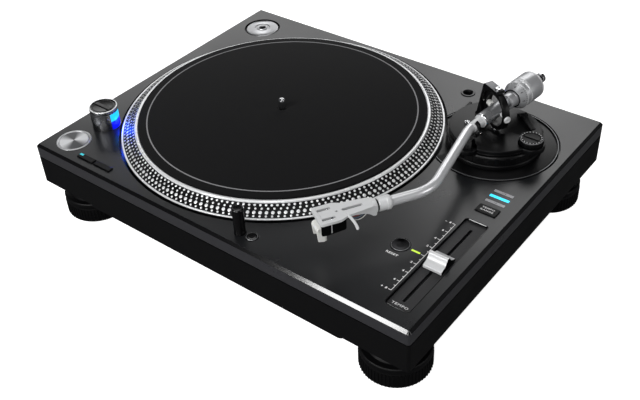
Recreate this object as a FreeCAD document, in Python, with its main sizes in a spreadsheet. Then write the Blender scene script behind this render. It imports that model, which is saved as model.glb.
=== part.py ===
import FreeCAD, Part
import math
import os
import Sketcher

# Direct-drive turntable for DJs, as a set of separate pieces.
# Millimetres, +X to the right, +Y to the back, +Z up. The origin is on the floor, under the
# middle of the plinth. Heights named *_z are above the floor.

SIZES = {
    # plinth
    "plinth_width": 453.0,
    "plinth_depth": 353.0,
    "deck_top_z": 84.0,
    "deck_height": 14.3,
    "deck_wall": 3.5,
    "deck_rim": 5.0,
    "deck_chamfer": 2.6,
    "corner_radius": 3.0,
    "shadow_gap": 1.4,
    "shadow_depth": 2.2,
    "chassis_bottom_z": 37.2,
    "chassis_wall": 6.0,
    "chassis_floor": 4.0,
    "cover_thickness": 3.0,
    "cover_side": 66.5,
    "cover_inset": 1.0,
    "boss_wall": 3.0,
    "small_gap": 0.3,
    # feet
    "foot_inset_x": 35.1,
    "foot_inset_front": 34.3,
    "foot_inset_back": 37.0,
    "foot_radius": 32.8,
    "foot_grip_height": 16.7,
    "foot_body_height": 23.6,
    "foot_neck_radius": 22.0,
    "foot_rib_depth": 0.5,
    "foot_rib_width": 2.4,
    "foot_rib_count": 36,
    "foot_stud_radius": 4.0,
    "foot_stud_length": 30.0,
    "foot_recess": 2.0,
    # platter and motor
    "platter_left_margin": 11.6,
    "platter_y": 1.5,
    "platter_margin": 10.5,
    "arm_strip_width": 103.8,
    "platter_gap": 2.8,
    "well_depth": 11.8,
    "platter_rim_z": 85.9,
    "platter_skirt_z": 77.5,
    "platter_skirt_wall": 4.5,
    "platter_top_z": 93.2,
    "platter_web": 4.6,
    "bead_inset": 14.8,
    "bead_width": 3.2,
    "bead_height": 1.5,
    "hub_radius": 14.0,
    "hub_z": 80.0,
    "mat_gap": 0.4,
    "mat_thickness": 3.1,
    "damper_width": 52.0,
    "damper_inset": 3.2,
    "damper_thickness": 3.0,
    "spindle_radius": 3.575,
    "spindle_top_z": 108.0,
    "spindle_relief": 0.75,
    "spindle_edge": 0.15,
    "shaft_radius": 5.0,
    "shaft_bottom_z": 50.0,
    "running_gap": 0.05,
    "bearing_radius": 12.0,
    "bearing_flange_radius": 19.0,
    "bearing_flange": 3.0,
    "bearing_end": 2.5,
    "stator_inner_radius": 21.0,
    "stator_ring": 8.0,
    "stator_outer_radius": 47.0,
    "stator_height": 9.0,
    "coil_width": 8.0,
    "coil_count": 12,
    "magnet_gap": 2.0,
    "magnet_width": 11.0,
    "magnet_height": 9.5,
    # spare adapter for large-hole records
    "adapter_left": 34.5,
    "adapter_back": 37.2,
    "adapter_radius": 19.2,
    "adapter_height": 4.6,
    "adapter_crown": 1.0,
    "adapter_seat_gap": 2.0,
    "adapter_seat_depth": 4.0,
    # start and stop button
    "start_left": 28.9,
    "start_front": 26.8,
    "start_ring_radius": 17.9,
    "start_ring_height": 1.0,
    "start_ring_slope": 2.2,
    "start_radius": 14.9,
    "start_proud": 0.9,
    # speed buttons
    "speed_from_start": 35.3,
    "speed_front": 12.9,
    "speed_pitch": 24.0,
    "speed_width": 22.2,
    "speed_depth": 6.6,
    "speed_proud": 1.4,
    "lens_length": 5.0,
    "lens_width": 2.6,
    "lens_inset": 0.8,
    # strobe pillar and power knob
    "pillar_bearing": 217.54,
    "pillar_gap": 0.2,
    "pillar_radius": 14.5,
    "pillar_wall": 1.6,
    "pillar_height": 19.4,
    "window_height": 13.5,
    "window_top_gap": 1.4,
    "window_angle": 86.0,
    "window_turn": 38.5,
    "knob_height": 3.6,
    "knob_rim": 1.1,
    "knob_dish": 0.9,
    "knob_stem_radius": 3.0,
    "knob_stem_length": 12.0,
    "knob_grip_width": 4.4,
    # stylus light
    "light_left": 264.5,
    "light_front": 16.0,
    "light_radius": 5.3,
    "light_height": 27.6,
    "light_button_right": 12.8,
    "light_button_behind": 1.1,
    "light_button_radius": 5.4,
    "light_button_proud": 0.8,
    # reset button
    "reset_right": 63.4,
    "reset_behind": 0.5,
    "reset_radius": 8.3,
    "reset_proud": 1.0,
    "button_flange": 0.9,
    "button_fit": 0.2,
    # tempo fader
    "fader_right": 24.5,
    "fader_front": 82.1,
    "fader_well_width": 23.0,
    "fader_well_length": 128.0,
    "fader_well_depth": 3.6,
    "fader_panel_thickness": 1.5,
    "fader_slot_width": 2.8,
    "fader_slot_length": 108.0,
    "fader_cap_width": 18.4,
    "fader_cap_length": 22.0,
    "fader_cap_height": 8.8,
    "fader_ridge_width": 3.4,
    "fader_stem_width": 2.0,
    "fader_stem_length": 6.0,
    "fader_pot_height": 5.0,
    "fader_pot_width": 12.0,
    "fader_pot_end": 6.0,
    # tempo range button and indicators
    "range_right": 25.3,
    "range_behind": 82.4,
    "range_width": 20.6,
    "range_depth": 11.0,
    "range_proud": 1.2,
    "indicator_length": 19.5,
    "indicator_width": 3.4,
    "indicator_behind": 96.0,
    "indicator_pitch": 8.1,
    "zero_light_right": 47.9,
    "zero_light_length": 8.6,
    "zero_light_width": 2.0,
    "indicator_proud": 0.1,
    # circuit boards
    "board_thickness": 1.6,
    "board_drop": 4.5,
    "board_spacer_radius": 3.0,
    "supply_left": 116.5,
    "supply_back": 64.5,
    "supply_length": 130.0,
    "supply_width": 60.0,
    "supply_height": 22.0,
    # spare headshell holder
    "holder_from_pivot": 66.5,
    "holder_back": 28.3,
    "holder_radius": 7.6,
    "holder_flange": 0.8,
    "holder_bore_radius": 4.3,
    "holder_depth": 14.0,
    # sockets on the back
    "socket_right": 106.5,
    "socket_z": 53.0,
    "socket_recess_width": 92.0,
    "socket_recess_height": 24.0,
    "socket_recess_depth": 12.0,
    "socket_box_wall": 3.0,
    "phono_pitch": 18.0,
    "phono_radius": 4.2,
    "phono_length": 11.0,
    "inlet_left": 76.5,
    "inlet_width": 27.0,
    "inlet_height": 20.0,
    "inlet_depth": 22.0,
    "inlet_blade_length": 5.0,
    "ground_nut_radius": 5.5,
    "ground_nut_height": 6.0,
    # tonearm base
    "pivot_clearance": 50.0,
    "pivot_bearing": 22.6,
    "arm_axis_z": 121.7,
    "arm_plate_radius": 60.0,
    "arm_plate_thickness": 4.2,
    "arm_plate_drop": 0.8,
    "trim_ring_width": 1.5,
    "trim_ring_gap": 1.1,
    "mount_radius": 38.0,
    "height_ring_radius": 46.8,
    "height_ring_top_z": 97.6,
    "height_ring_flutes": 28,
    "flute_depth": 0.7,
    "arm_base_radius": 44.2,
    "arm_base_top_z": 103.4,
    "arm_base_low_z": 99.6,
    "arm_column_radius": 20.0,
    "arm_column_bottom_z": 74.0,
    "gimbal_pit_radius": 15.5,
    "lock_angle": 154.4,
    "lock_distance": 51.6,
    "lock_radius": 4.0,
    "lock_lever_length": 16.0,
    # tonearm
    "arm_rest_angle": 6.0,
    "arm_first_leg": 45.0,
    "arm_first_bend": 18.0,
    "arm_first_bend_radius": 42.0,
    "arm_second_leg": 97.0,
    "arm_second_bend": 43.5,
    "arm_second_bend_radius": 40.0,
    "arm_third_leg": 43.0,
    "tube_radius": 4.2,
    "tube_wall": 0.8,
    "sleeve_radius": 5.35,
    "sleeve_length": 29.5,
    "rear_shaft_radius": 5.0,
    "rear_shaft_length": 77.3,
    "gimbal_angle": 31.5,
    "gimbal_outer_radius": 19.3,
    "gimbal_inner_radius": 15.4,
    "gimbal_width": 6.4,
    "boss_reach": 2.2,
    "boss_half_width": 3.2,
    "yoke_angle": 26.0,
    "yoke_width": 9.4,
    "yoke_foot": 26.5,
    "yoke_top_foot": 18.0,
    "yoke_top_height": 22.2,
    "yoke_clearance": 1.3,
    "yoke_overhang": 5.0,
    "pivot_screw_radius": 3.4,
    "pivot_tip_radius": 1.5,
    # counterweight
    "weight_radius": 14.0,
    "weight_front": 38.6,
    "weight_length": 28.8,
    "weight_core_radius": 8.0,
    "dial_front": 24.2,
    "dial_length": 14.2,
    # headshell and cartridge
    "collar_start": 38.8,
    "collar_length": 12.0,
    "collar_radius": 6.6,
    "headshell_start": 52.6,
    "headshell_length": 53.8,
    "headshell_width": 24.4,
    "headshell_neck_width": 13.6,
    "headshell_plate": 2.4,
    "headshell_rise": 5.2,
    "shell_flare_back": 25.0,
    "shell_flare_side": 3.0,
    "shell_head_length": 18.4,
    "shell_corner": 1.5,
    "shell_skirt": 1.6,
    "shell_slot_start": 11.5,
    "shell_slot_length": 18.0,
    "shell_slot_width": 2.2,
    "shell_hole_back": 18.6,
    "shell_hole_radius": 1.1,
    "screw_slot_back": 9.5,
    "screw_slot_length": 12.0,
    "screw_slot_width": 2.4,
    "plug_length": 8.0,
    "cartridge_length": 22.0,
    "cartridge_width": 16.6,
    "cartridge_height": 15.8,
    "cartridge_back": 2.4,
    "mount_screw_offset": 6.35,
    "stylus_reach": 102.3,
    "stylus_tip_z": 98.6,
    "finger_back": 26.8,
    "finger_bend_radius": 48.0,
    "finger_start_angle": 196.5,
    "finger_sweep": 25.5,
    "finger_radius": 1.3,
    # controls on the tonearm base
    "skate_angle": -9.5,
    "skate_distance": 42.6,
    "skate_radius": 11.5,
    "skate_height": 5.8,
    "skate_lobe": 1.6,
    "cue_x": 13.0,
    "cue_y": 31.0,
    "cue_hub_radius": 2.6,
    "cue_lever_length": 27.5,
    "cue_lever_width": 6.0,
    "cue_lever_angle": -40.6,
    "cue_ear": 1.6,
    "lifter_radius": 27.6,
    "lifter_wire_radius": 1.5,
    "lifter_stroke": 4.6,
    "lifter_span": 44.0,
    "lifter_gap": 0.45,
    "lifter_post_radius": 2.4,
    "rest_width": 7.0,
    "rest_gap": 1.2,
    "rest_lobe_radius": 9.2,
    "clip_hinge_out": 8.0,
    "clip_hinge_drop": 2.2,
    "clip_eye_radius": 2.3,
    "clip_pin_radius": 1.0,
    "clip_cheek": 1.2,
    "clip_wall": 2.2,
    "clip_open_angle": 45.0,
    "clip_tip_angle": 112.0,
}

doc = FreeCAD.newDocument("DjTurntable")
sheet = doc.addObject("Spreadsheet::Sheet", "Sizes")
for row, (alias, number) in enumerate(SIZES.items(), start=1):
    sheet.set(f"A{row}", alias)
    sheet.set(f"B{row}", str(number))
    sheet.setAlias(f"B{row}", alias)
doc.recompute()


class Size:
    """A length or an angle that keeps its expression of sheet cells beside its value."""

    def __init__(self, text, value):
        self.text = text
        self.value = value

    def __add__(self, other):
        other = as_size(other)
        return Size(f"({self.text} + {other.text})", self.value + other.value)

    def __radd__(self, other):
        return as_size(other) + self

    def __sub__(self, other):
        other = as_size(other)
        return Size(f"({self.text} - {other.text})", self.value - other.value)

    def __rsub__(self, other):
        return as_size(other) - self

    def __mul__(self, other):
        other = as_size(other)
        return Size(f"({self.text} * {other.text})", self.value * other.value)

    def __rmul__(self, other):
        return as_size(other) * self

    def __truediv__(self, other):
        other = as_size(other)
        return Size(f"({self.text} / {other.text})", self.value / other.value)

    def __neg__(self):
        return Size(f"(0 - {self.text})", -self.value)


def as_size(value):
    if isinstance(value, Size):
        return value
    return Size(repr(float(value)), float(value))


def cosine(angle):
    angle = as_size(angle)
    return Size(f"cos({angle.text})", math.cos(math.radians(angle.value)))


def sine(angle):
    angle = as_size(angle)
    return Size(f"sin({angle.text})", math.sin(math.radians(angle.value)))


def smaller(first, second):
    return Size(f"min({first.text}; {second.text})", min(first.value, second.value))


class Sheet:
    """Gives each size of the sheet by its name."""

    def __getattr__(self, name):
        return Size(f"Sizes.{name}", float(sheet.get(name)))


s = Sheet()
pieces = []
cuts = []


def bind(thing, path, value):
    """Ties a property to its expression of sizes."""
    thing.setExpression(path, as_size(value).text)


def place(thing, at, turn=0, axis=None):
    """Puts a piece at a point, turned about an axis, +Z if none is given."""
    if axis is not None:
        thing.Placement = FreeCAD.Placement(FreeCAD.Vector(), FreeCAD.Rotation(FreeCAD.Vector(*axis), 1))
    for letter, value in zip("xyz", at):
        bind(thing, f"Placement.Base.{letter}", value)
    if isinstance(turn, Size) or turn:
        bind(thing, "Placement.Rotation.Angle", turn)


def new_piece(label, at=(0, 0, 0), turn=0):
    """Starts a sub-part as a body with a place of its own."""
    body = doc.addObject("PartDesign::Body", label)
    body.Label = label
    place(body, at, turn)
    pieces.append(body)
    return body


def origin_plane(body, role):
    return [plane for plane in body.Origin.OriginFeatures if plane.Role == role][0]


def circle(x, y, radius):
    return ("circle", as_size(x), as_size(y), as_size(radius))


def rectangle(x, y, width, depth):
    """Four corners of a rectangle round its middle."""
    half_w = as_size(width) / 2
    half_d = as_size(depth) / 2
    left, right = x - half_w, x + half_w
    front, back = y - half_d, y + half_d
    return [(left, front), (right, front), (right, back), (left, back)]


def draw_circle(sketch, loop):
    _, x, y, radius = loop
    centre = FreeCAD.Vector(x.value, y.value, 0)
    index = sketch.addGeometry(Part.Circle(centre, FreeCAD.Vector(0, 0, 1), radius.value), False)
    for kind, args, size in (
        ("DistanceX", (-1, 1, index, 3), x),
        ("DistanceY", (-1, 1, index, 3), y),
        ("Radius", (index,), radius),
    ):
        number = sketch.addConstraint(Sketcher.Constraint(kind, *args, size.value))
        bind(sketch, f"Constraints[{number}]", size)


def draw_polygon(sketch, loop):
    points = [(as_size(x), as_size(y)) for x, y in loop]
    first = sketch.GeometryCount
    count = len(points)
    for i, (x, y) in enumerate(points):
        next_x, next_y = points[(i + 1) % count]
        start = FreeCAD.Vector(x.value, y.value, 0)
        end = FreeCAD.Vector(next_x.value, next_y.value, 0)
        sketch.addGeometry(Part.LineSegment(start, end), False)
    for i in range(count):
        sketch.addConstraint(Sketcher.Constraint("Coincident", first + i, 2, first + (i + 1) % count, 1))
    for i, point in enumerate(points):
        for kind, size in zip(("DistanceX", "DistanceY"), point):
            number = sketch.addConstraint(Sketcher.Constraint(kind, -1, 1, first + i, 1, size.value))
            bind(sketch, f"Constraints[{number}]", size)


def new_sketch(body, name, plane, loops, offset=0):
    """Draws loops on one of the body's own planes, moved along its normal by the offset."""
    sketch = body.newObject("Sketcher::SketchObject", name)
    sketch.AttachmentSupport = [(origin_plane(body, plane), "")]
    sketch.MapMode = "FlatFace"
    bind(sketch, "AttachmentOffset.Base.z", offset)
    for loop in loops:
        if loop[0] == "circle":
            draw_circle(sketch, loop)
        else:
            draw_polygon(sketch, loop)
    return sketch


def pad(body, name, loops, start, height, plane="XY_Plane"):
    """Adds a prism from start to start + height, along +Z, or +X or +Y on an upright plane."""
    offset = -(as_size(start) + height) if plane == "XZ_Plane" else start
    feature = body.newObject("PartDesign::Pad", name)
    feature.Profile = new_sketch(body, name + "Outline", plane, loops, offset)
    bind(feature, "Length", height)
    return feature


def pocket(body, name, loops, start, depth, upward=False, plane="XY_Plane"):
    """Cuts a prism from start towards the lower side of the plane's axis, or the upper side."""
    feature = body.newObject("PartDesign::Pocket", name)
    offset = -as_size(start) if plane == "XZ_Plane" else start
    feature.Profile = new_sketch(body, name + "Outline", plane, loops, offset)
    bind(feature, "Length", depth)
    feature.Reversed = upward != (plane == "XZ_Plane")
    cuts.append(feature)
    return feature


def revolve(body, name, loops, axis="V_Axis", plane="XZ_Plane"):
    """Turns an outline about an axis of its own sketch."""
    feature = body.newObject("PartDesign::Revolution", name)
    feature.Profile = new_sketch(body, name + "Outline", plane, loops)
    feature.ReferenceAxis = (feature.Profile[0], [axis])
    feature.Angle = 360
    return feature


def polar(body, feature, count):
    """Repeats a feature round the body's own Z axis."""
    pattern = body.newObject("PartDesign::PolarPattern", feature.Name + "Round")
    pattern.Originals = [feature]
    pattern.Axis = (origin_plane(body, "Z_Axis"), [""])
    pattern.Angle = 360
    bind(pattern, "Occurrences", count)
    body.Tip = pattern
    return pattern


def dress(body, kind, name, size, wanted):
    """Fillets or chamfers the edges of the body that a test picks by their middle and direction."""
    doc.recompute()
    base = body.Tip
    names = []
    for number, edge in enumerate(base.Shape.Edges, start=1):
        middle = edge.valueAt((edge.FirstParameter + edge.LastParameter) / 2)
        tangent = edge.tangentAt((edge.FirstParameter + edge.LastParameter) / 2)
        if wanted(edge, middle, tangent):
            names.append(f"Edge{number}")
    feature = body.newObject("PartDesign::" + kind, name)
    feature.Base = (base, names)
    bind(feature, "Radius" if kind == "Fillet" else "Size", size)
    return feature


def upright(tangent):
    return abs(tangent.z) > 0.999


def near(value, target):
    return abs(value - target) < 0.01


def solid(kind, name, at=(0, 0, 0), turn=0, **sizes):
    """Adds a Part primitive with its sizes tied to the sheet."""
    thing = doc.addObject("Part::" + kind, name)
    for size_name, value in sizes.items():
        bind(thing, size_name, value)
    place(thing, at, turn)
    return thing


def fuse(label, shapes):
    thing = doc.addObject("Part::MultiFuse", label)
    thing.Shapes = shapes
    thing.Refine = True
    thing.Label = label
    return thing


def cut(label, base, tool):
    thing = doc.addObject("Part::Cut", label)
    thing.Base = base
    thing.Tool = tool
    thing.Label = label
    return thing


def group(label, shapes):
    """Keeps alike solids together as one sub-part without joining them."""
    thing = doc.addObject("Part::Compound", label)
    thing.Links = shapes
    thing.Label = label
    pieces.append(thing)
    return thing


def top_ring(x, y, outer, inner):
    return [circle(x, y, outer), circle(x, y, inner)]


# Places that several pieces share
half_width = s.plinth_width / 2
half_depth = s.plinth_depth / 2
platter_radius = smaller(
    half_depth - s.platter_margin,
    (s.plinth_width - s.platter_left_margin - s.arm_strip_width) / 2 - s.platter_gap,
)
well_radius = platter_radius + s.platter_gap
bead_outer_radius = platter_radius - s.bead_inset
platter_x = s.platter_left_margin + well_radius - half_width
pivot_distance = platter_radius + s.pivot_clearance
pivot_x = platter_x + pivot_distance * cosine(s.pivot_bearing)
pivot_y = s.platter_y + pivot_distance * sine(s.pivot_bearing)
pillar_distance = well_radius + s.pillar_radius + s.pillar_gap
pillar_x = platter_x + pillar_distance * cosine(s.pillar_bearing)
pillar_y = s.platter_y + pillar_distance * sine(s.pillar_bearing)
adapter_x = s.adapter_left - half_width
adapter_y = half_depth - s.adapter_back
start_x = s.start_left - half_width
start_y = s.start_front - half_depth
speed_x = start_x + s.speed_from_start
speed_y = s.speed_front - half_depth
light_x = s.light_left - half_width
light_y = s.light_front - half_depth
light_button_x = light_x + s.light_button_right
light_button_y = light_y + s.light_button_behind
fader_x = half_width - s.fader_right
fader_y = s.fader_front - half_depth
reset_x = half_width - s.reset_right
reset_y = fader_y + s.reset_behind
range_x = half_width - s.range_right
range_y = fader_y + s.range_behind
indicator_y = fader_y + s.indicator_behind
zero_light_x = half_width - s.zero_light_right
supply_x = s.supply_left - half_width
supply_y = half_depth - s.supply_back
holder_x = pivot_x - s.holder_from_pivot
holder_y = half_depth - s.holder_back
socket_plate_x = half_width - s.socket_right
inlet_x = s.inlet_left - half_width
band_bottom_z = s.deck_top_z - s.deck_height
chassis_top_z = band_bottom_z - s.shadow_gap
well_floor_z = s.deck_top_z - s.well_depth
deck_under_z = s.deck_top_z - s.deck_wall
foot_places = {
    "front_left": (s.foot_inset_x - half_width, s.foot_inset_front - half_depth),
    "front_right": (half_width - s.foot_inset_x, s.foot_inset_front - half_depth),
    "back_left": (s.foot_inset_x - half_width, half_depth - s.foot_inset_back),
    "back_right": (half_width - s.foot_inset_x, half_depth - s.foot_inset_back),
}
platter_place = (platter_x, s.platter_y, 0)
fader_floor_z = s.deck_top_z - s.fader_well_depth
board_z = deck_under_z - s.board_drop
arm_forward = -90 - s.arm_rest_angle
arm_channel_radius = s.arm_plate_radius + s.trim_ring_gap * 2 + s.trim_ring_width + s.small_gap
arm_plate_top_z = s.deck_top_z - s.arm_plate_drop
arm_seat_z = arm_plate_top_z - s.arm_plate_thickness


def bend_point():
    """Where the second and third legs of the S-shaped arm would meet, in the row's frame."""
    second_way = arm_forward + s.arm_first_bend
    x = pivot_x + s.arm_first_leg * cosine(arm_forward) + s.arm_second_leg * cosine(second_way)
    y = pivot_y + s.arm_first_leg * sine(arm_forward) + s.arm_second_leg * sine(second_way)
    return x, y


rest_way = arm_forward + s.arm_first_bend / 2


def rest_point():
    """The middle of the arm's first bend, in the tonearm base's own frame."""
    inward = s.arm_first_bend_radius / cosine(s.arm_first_bend / 2) - s.arm_first_bend_radius
    x = s.arm_first_leg * cosine(arm_forward) - inward * sine(rest_way)
    y = s.arm_first_leg * sine(arm_forward) + inward * cosine(rest_way)
    return x, y


head_x, head_y = bend_point()
head_way = arm_forward + s.arm_first_bend - s.arm_second_bend


def spun(x, y, angle):
    """A point turned about the origin of a sketch."""
    return x * cosine(angle) - y * sine(angle), x * sine(angle) + y * cosine(angle)


def on_head(along, across):
    """A point of the headshell's own frame in the row's frame."""
    x, y = spun(as_size(along), as_size(across), head_way)
    return head_x + x, head_y + y


def on_pivot(angle, distance):
    """A point of the tonearm base at an angle and a distance from the pivot."""
    return pivot_x + distance * cosine(angle), pivot_y + distance * sine(angle)


def deck_panel():
    """Cast top with its bevelled rim, the platter well and every seat and hole for the controls."""
    body = new_piece("deck_panel")
    pad(body, "DeckBlock", [rectangle(0, 0, s.plinth_width, s.plinth_depth)], band_bottom_z, s.deck_height)
    dress(body, "Fillet", "DeckCorners", s.corner_radius, lambda edge, middle, way: upright(way))
    top = s.deck_top_z.value
    dress(body, "Chamfer", "DeckEdge", s.deck_chamfer, lambda edge, middle, way: near(middle.z, top))
    islands = [
        rectangle(0, 0, s.plinth_width - s.deck_rim * 2, s.plinth_depth - s.deck_rim * 2),
        circle(platter_x, s.platter_y, well_radius + s.boss_wall),
        circle(pivot_x, pivot_y, arm_channel_radius + s.boss_wall),
        circle(adapter_x, adapter_y, s.adapter_radius + s.adapter_seat_gap + s.boss_wall),
        circle(holder_x, holder_y, s.holder_radius + s.boss_wall),
    ]
    pocket(body, "Underside", islands[:1], band_bottom_z, s.deck_height - s.deck_wall, upward=True)
    cavity = s.deck_height - s.deck_wall
    pad(body, "WellBoss", islands[1:2], band_bottom_z, cavity)
    pad(body, "ArmBoss", islands[2:3], band_bottom_z, cavity)
    pad(body, "AdapterBoss", islands[3:4], band_bottom_z, cavity)
    pad(body, "HolderBoss", islands[4:5], band_bottom_z, cavity)
    fader_boss = rectangle(
        fader_x,
        fader_y,
        s.fader_well_width + s.boss_wall * 2,
        s.fader_well_length + s.boss_wall * 2,
    )
    boss_low_z = fader_floor_z - s.boss_wall
    pad(body, "FaderBoss", [fader_boss], boss_low_z, deck_under_z - boss_low_z)
    top_z = s.deck_top_z
    pocket(body, "PlatterWell", [circle(platter_x, s.platter_y, well_radius)], top_z, s.well_depth)
    bearing = circle(platter_x, s.platter_y, s.bearing_radius + s.small_gap)
    pocket(body, "BearingHole", [bearing], top_z, s.deck_height)
    seat_depth = s.deck_top_z - arm_seat_z
    pocket(body, "ArmSeat", [circle(pivot_x, pivot_y, arm_channel_radius)], top_z, seat_depth)
    column = circle(pivot_x, pivot_y, s.arm_column_radius + s.boss_wall)
    pocket(body, "ArmHole", [column], top_z, s.deck_height)
    seat = circle(adapter_x, adapter_y, s.adapter_radius + s.adapter_seat_gap)
    pocket(body, "AdapterSeat", [seat], top_z, s.adapter_seat_depth)
    pocket(body, "HolderHole", [circle(holder_x, holder_y, s.holder_radius - 1.5)], top_z, s.deck_height)
    fader_well = rectangle(fader_x, fader_y, s.fader_well_width, s.fader_well_length)
    pocket(body, "FaderWell", [fader_well], top_z, s.fader_well_depth)
    slot = rectangle(fader_x, fader_y, s.fader_slot_width + 4, s.fader_slot_length + 6)
    pocket(body, "FaderOpening", [slot], top_z, s.deck_height)
    wall_holes = [
        circle(start_x, start_y, s.start_radius + s.start_ring_slope - 0.6),
        circle(light_x, light_y, s.light_radius + s.small_gap),
        circle(light_button_x, light_button_y, s.light_button_radius + s.button_fit),
        circle(reset_x, reset_y, s.reset_radius + s.button_fit),
        circle(pillar_x, pillar_y, s.pillar_radius - s.pillar_wall - 1),
        rectangle(range_x, range_y, s.range_width + s.button_fit * 2, s.range_depth + s.button_fit * 2),
        rectangle(zero_light_x, reset_y, s.zero_light_length, s.zero_light_width),
    ]
    speed_hole_width = s.speed_width + s.button_fit * 2
    speed_hole_depth = s.speed_depth + s.button_fit * 2
    for number in range(2):
        x = speed_x + s.speed_pitch * number
        wall_holes.append(rectangle(x, speed_y, speed_hole_width, speed_hole_depth))
    for number in range(3):
        y = indicator_y + s.indicator_pitch * number
        wall_holes.append(rectangle(range_x, y, s.indicator_length, s.indicator_width))
    pocket(body, "ControlHoles", wall_holes, top_z, s.deck_wall)
    half_well = s.fader_well_width.value / 2
    half_length = s.fader_well_length.value / 2
    dress(
        body,
        "Fillet",
        "FaderCorners",
        s.corner_radius,
        lambda edge, middle, way: upright(way)
        and near(abs(middle.x - fader_x.value), half_well)
        and near(abs(middle.y - fader_y.value), half_length),
    )


def chassis():
    """Deep lower body, set back behind a shadow line, with its floor, stud bosses and back sockets."""
    body = new_piece("chassis")
    height = chassis_top_z - s.chassis_bottom_z
    pad(body, "ChassisBlock", [rectangle(0, 0, s.plinth_width, s.plinth_depth)], s.chassis_bottom_z, height)
    dress(body, "Fillet", "ChassisCorners", s.corner_radius, lambda edge, middle, way: upright(way))
    low = s.chassis_bottom_z.value
    dress(body, "Chamfer", "LowerEdge", 1.0, lambda edge, middle, way: near(middle.z, low))
    inner = rectangle(0, 0, s.plinth_width - s.chassis_wall * 2, s.plinth_depth - s.chassis_wall * 2)
    pocket(body, "Hollow", [inner], chassis_top_z, height - s.chassis_floor)
    outer_lip = rectangle(0, 0, s.plinth_width - s.shadow_depth * 2, s.plinth_depth - s.shadow_depth * 2)
    inner_lip = rectangle(0, 0, s.plinth_width - s.deck_rim * 2, s.plinth_depth - s.deck_rim * 2)
    pad(body, "Lip", [outer_lip, inner_lip], chassis_top_z, s.shadow_gap)
    wall = s.socket_box_wall
    box = rectangle(
        socket_plate_x, s.socket_z, s.socket_recess_width + wall * 2, s.socket_recess_height + wall * 2
    )
    box_start = half_depth - s.socket_recess_depth - wall
    pad(body, "SocketBox", [box], box_start, s.socket_recess_depth, plane="XZ_Plane")
    stud_holes = [circle(x, y, s.foot_stud_radius + s.small_gap / 2) for x, y in foot_places.values()]
    pocket(body, "StudHoles", stud_holes, s.chassis_bottom_z + s.chassis_floor, s.chassis_floor)
    recess = rectangle(socket_plate_x, s.socket_z, s.socket_recess_width, s.socket_recess_height)
    back = half_depth
    pocket(body, "SocketRecess", [recess], back, s.socket_recess_depth, plane="XZ_Plane")
    inlet = rectangle(inlet_x, s.socket_z, s.inlet_width, s.inlet_height)
    pocket(body, "InletHole", [inlet], back, s.chassis_wall, plane="XZ_Plane")
    holes = [circle(socket_plate_x + s.phono_pitch * step, s.socket_z, s.phono_radius) for step in (-1, 0)]
    holes.append(circle(socket_plate_x + s.phono_pitch * 1.5, s.socket_z, 2.2))
    inner_face = back - s.socket_recess_depth
    pocket(body, "TerminalHoles", holes, inner_face, wall, plane="XZ_Plane")


def bottom_cover():
    """Base plate screwed under the chassis between the feet."""
    body = new_piece("bottom_cover")
    depth = s.plinth_depth - s.cover_inset * 2
    bottom = s.chassis_bottom_z - s.cover_thickness
    plate = rectangle(0, 0, s.plinth_width - s.cover_side * 2, depth)
    pad(body, "CoverPlate", [plate], bottom, s.cover_thickness)
    dress(body, "Fillet", "CoverCorners", 6.0, lambda edge, middle, way: upright(way))


def foot(corner):
    """Ribbed isolating foot with its neck, which turns on a stud to level the plinth."""
    x, y = foot_places[corner]
    body = new_piece("foot_" + corner, (x, y, 0))
    top = s.chassis_bottom_z - s.small_gap
    r = s.foot_radius
    outline = [
        (s.foot_stud_radius + s.running_gap, s.foot_recess),
        (r - 6, s.foot_recess),
        (r - 6, 0),
        (r - 1.5, 0),
        (r - s.foot_rib_depth, 1.2),
        (r - s.foot_rib_depth, s.foot_grip_height),
        (r - 1.2, s.foot_grip_height + 0.4),
        (r - 0.4, s.foot_grip_height + 1),
        (r - 0.4, s.foot_body_height - 1.2),
        (r - 1.4, s.foot_body_height),
        (s.foot_neck_radius + 4, s.foot_body_height - 0.6),
        (s.foot_neck_radius, s.foot_body_height + 3),
        (s.foot_neck_radius, top),
        (s.foot_stud_radius + s.running_gap, top),
    ]
    revolve(body, "FootProfile" + corner, [outline])
    root = r - s.foot_rib_depth - 0.8
    tip = [(root, 0 - s.foot_rib_width / 2), (r, 0), (root, s.foot_rib_width / 2)]
    rib = pad(body, "Rib" + corner, [tip], 1.6, s.foot_grip_height - 1.9)
    doc.recompute()
    polar(body, rib, s.foot_rib_count)


def foot_studs():
    """Four threaded studs that carry the feet."""
    studs = []
    bottom = s.chassis_bottom_z + s.chassis_floor + 2 - s.foot_stud_length
    for corner, (x, y) in foot_places.items():
        at = (x, y, bottom)
        shank = solid("Cylinder", "Stud" + corner, at, Radius=s.foot_stud_radius, Height=s.foot_stud_length)
        nut_z = s.chassis_bottom_z + s.chassis_floor
        nut = solid("Prism", "Nut" + corner, (x, y, nut_z), Circumradius=s.foot_stud_radius * 2, Height=5)
        nut.Polygon = 6
        studs.append(fuse("FootStud" + corner, [shank, nut]))
    group("foot_studs", studs)


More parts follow.
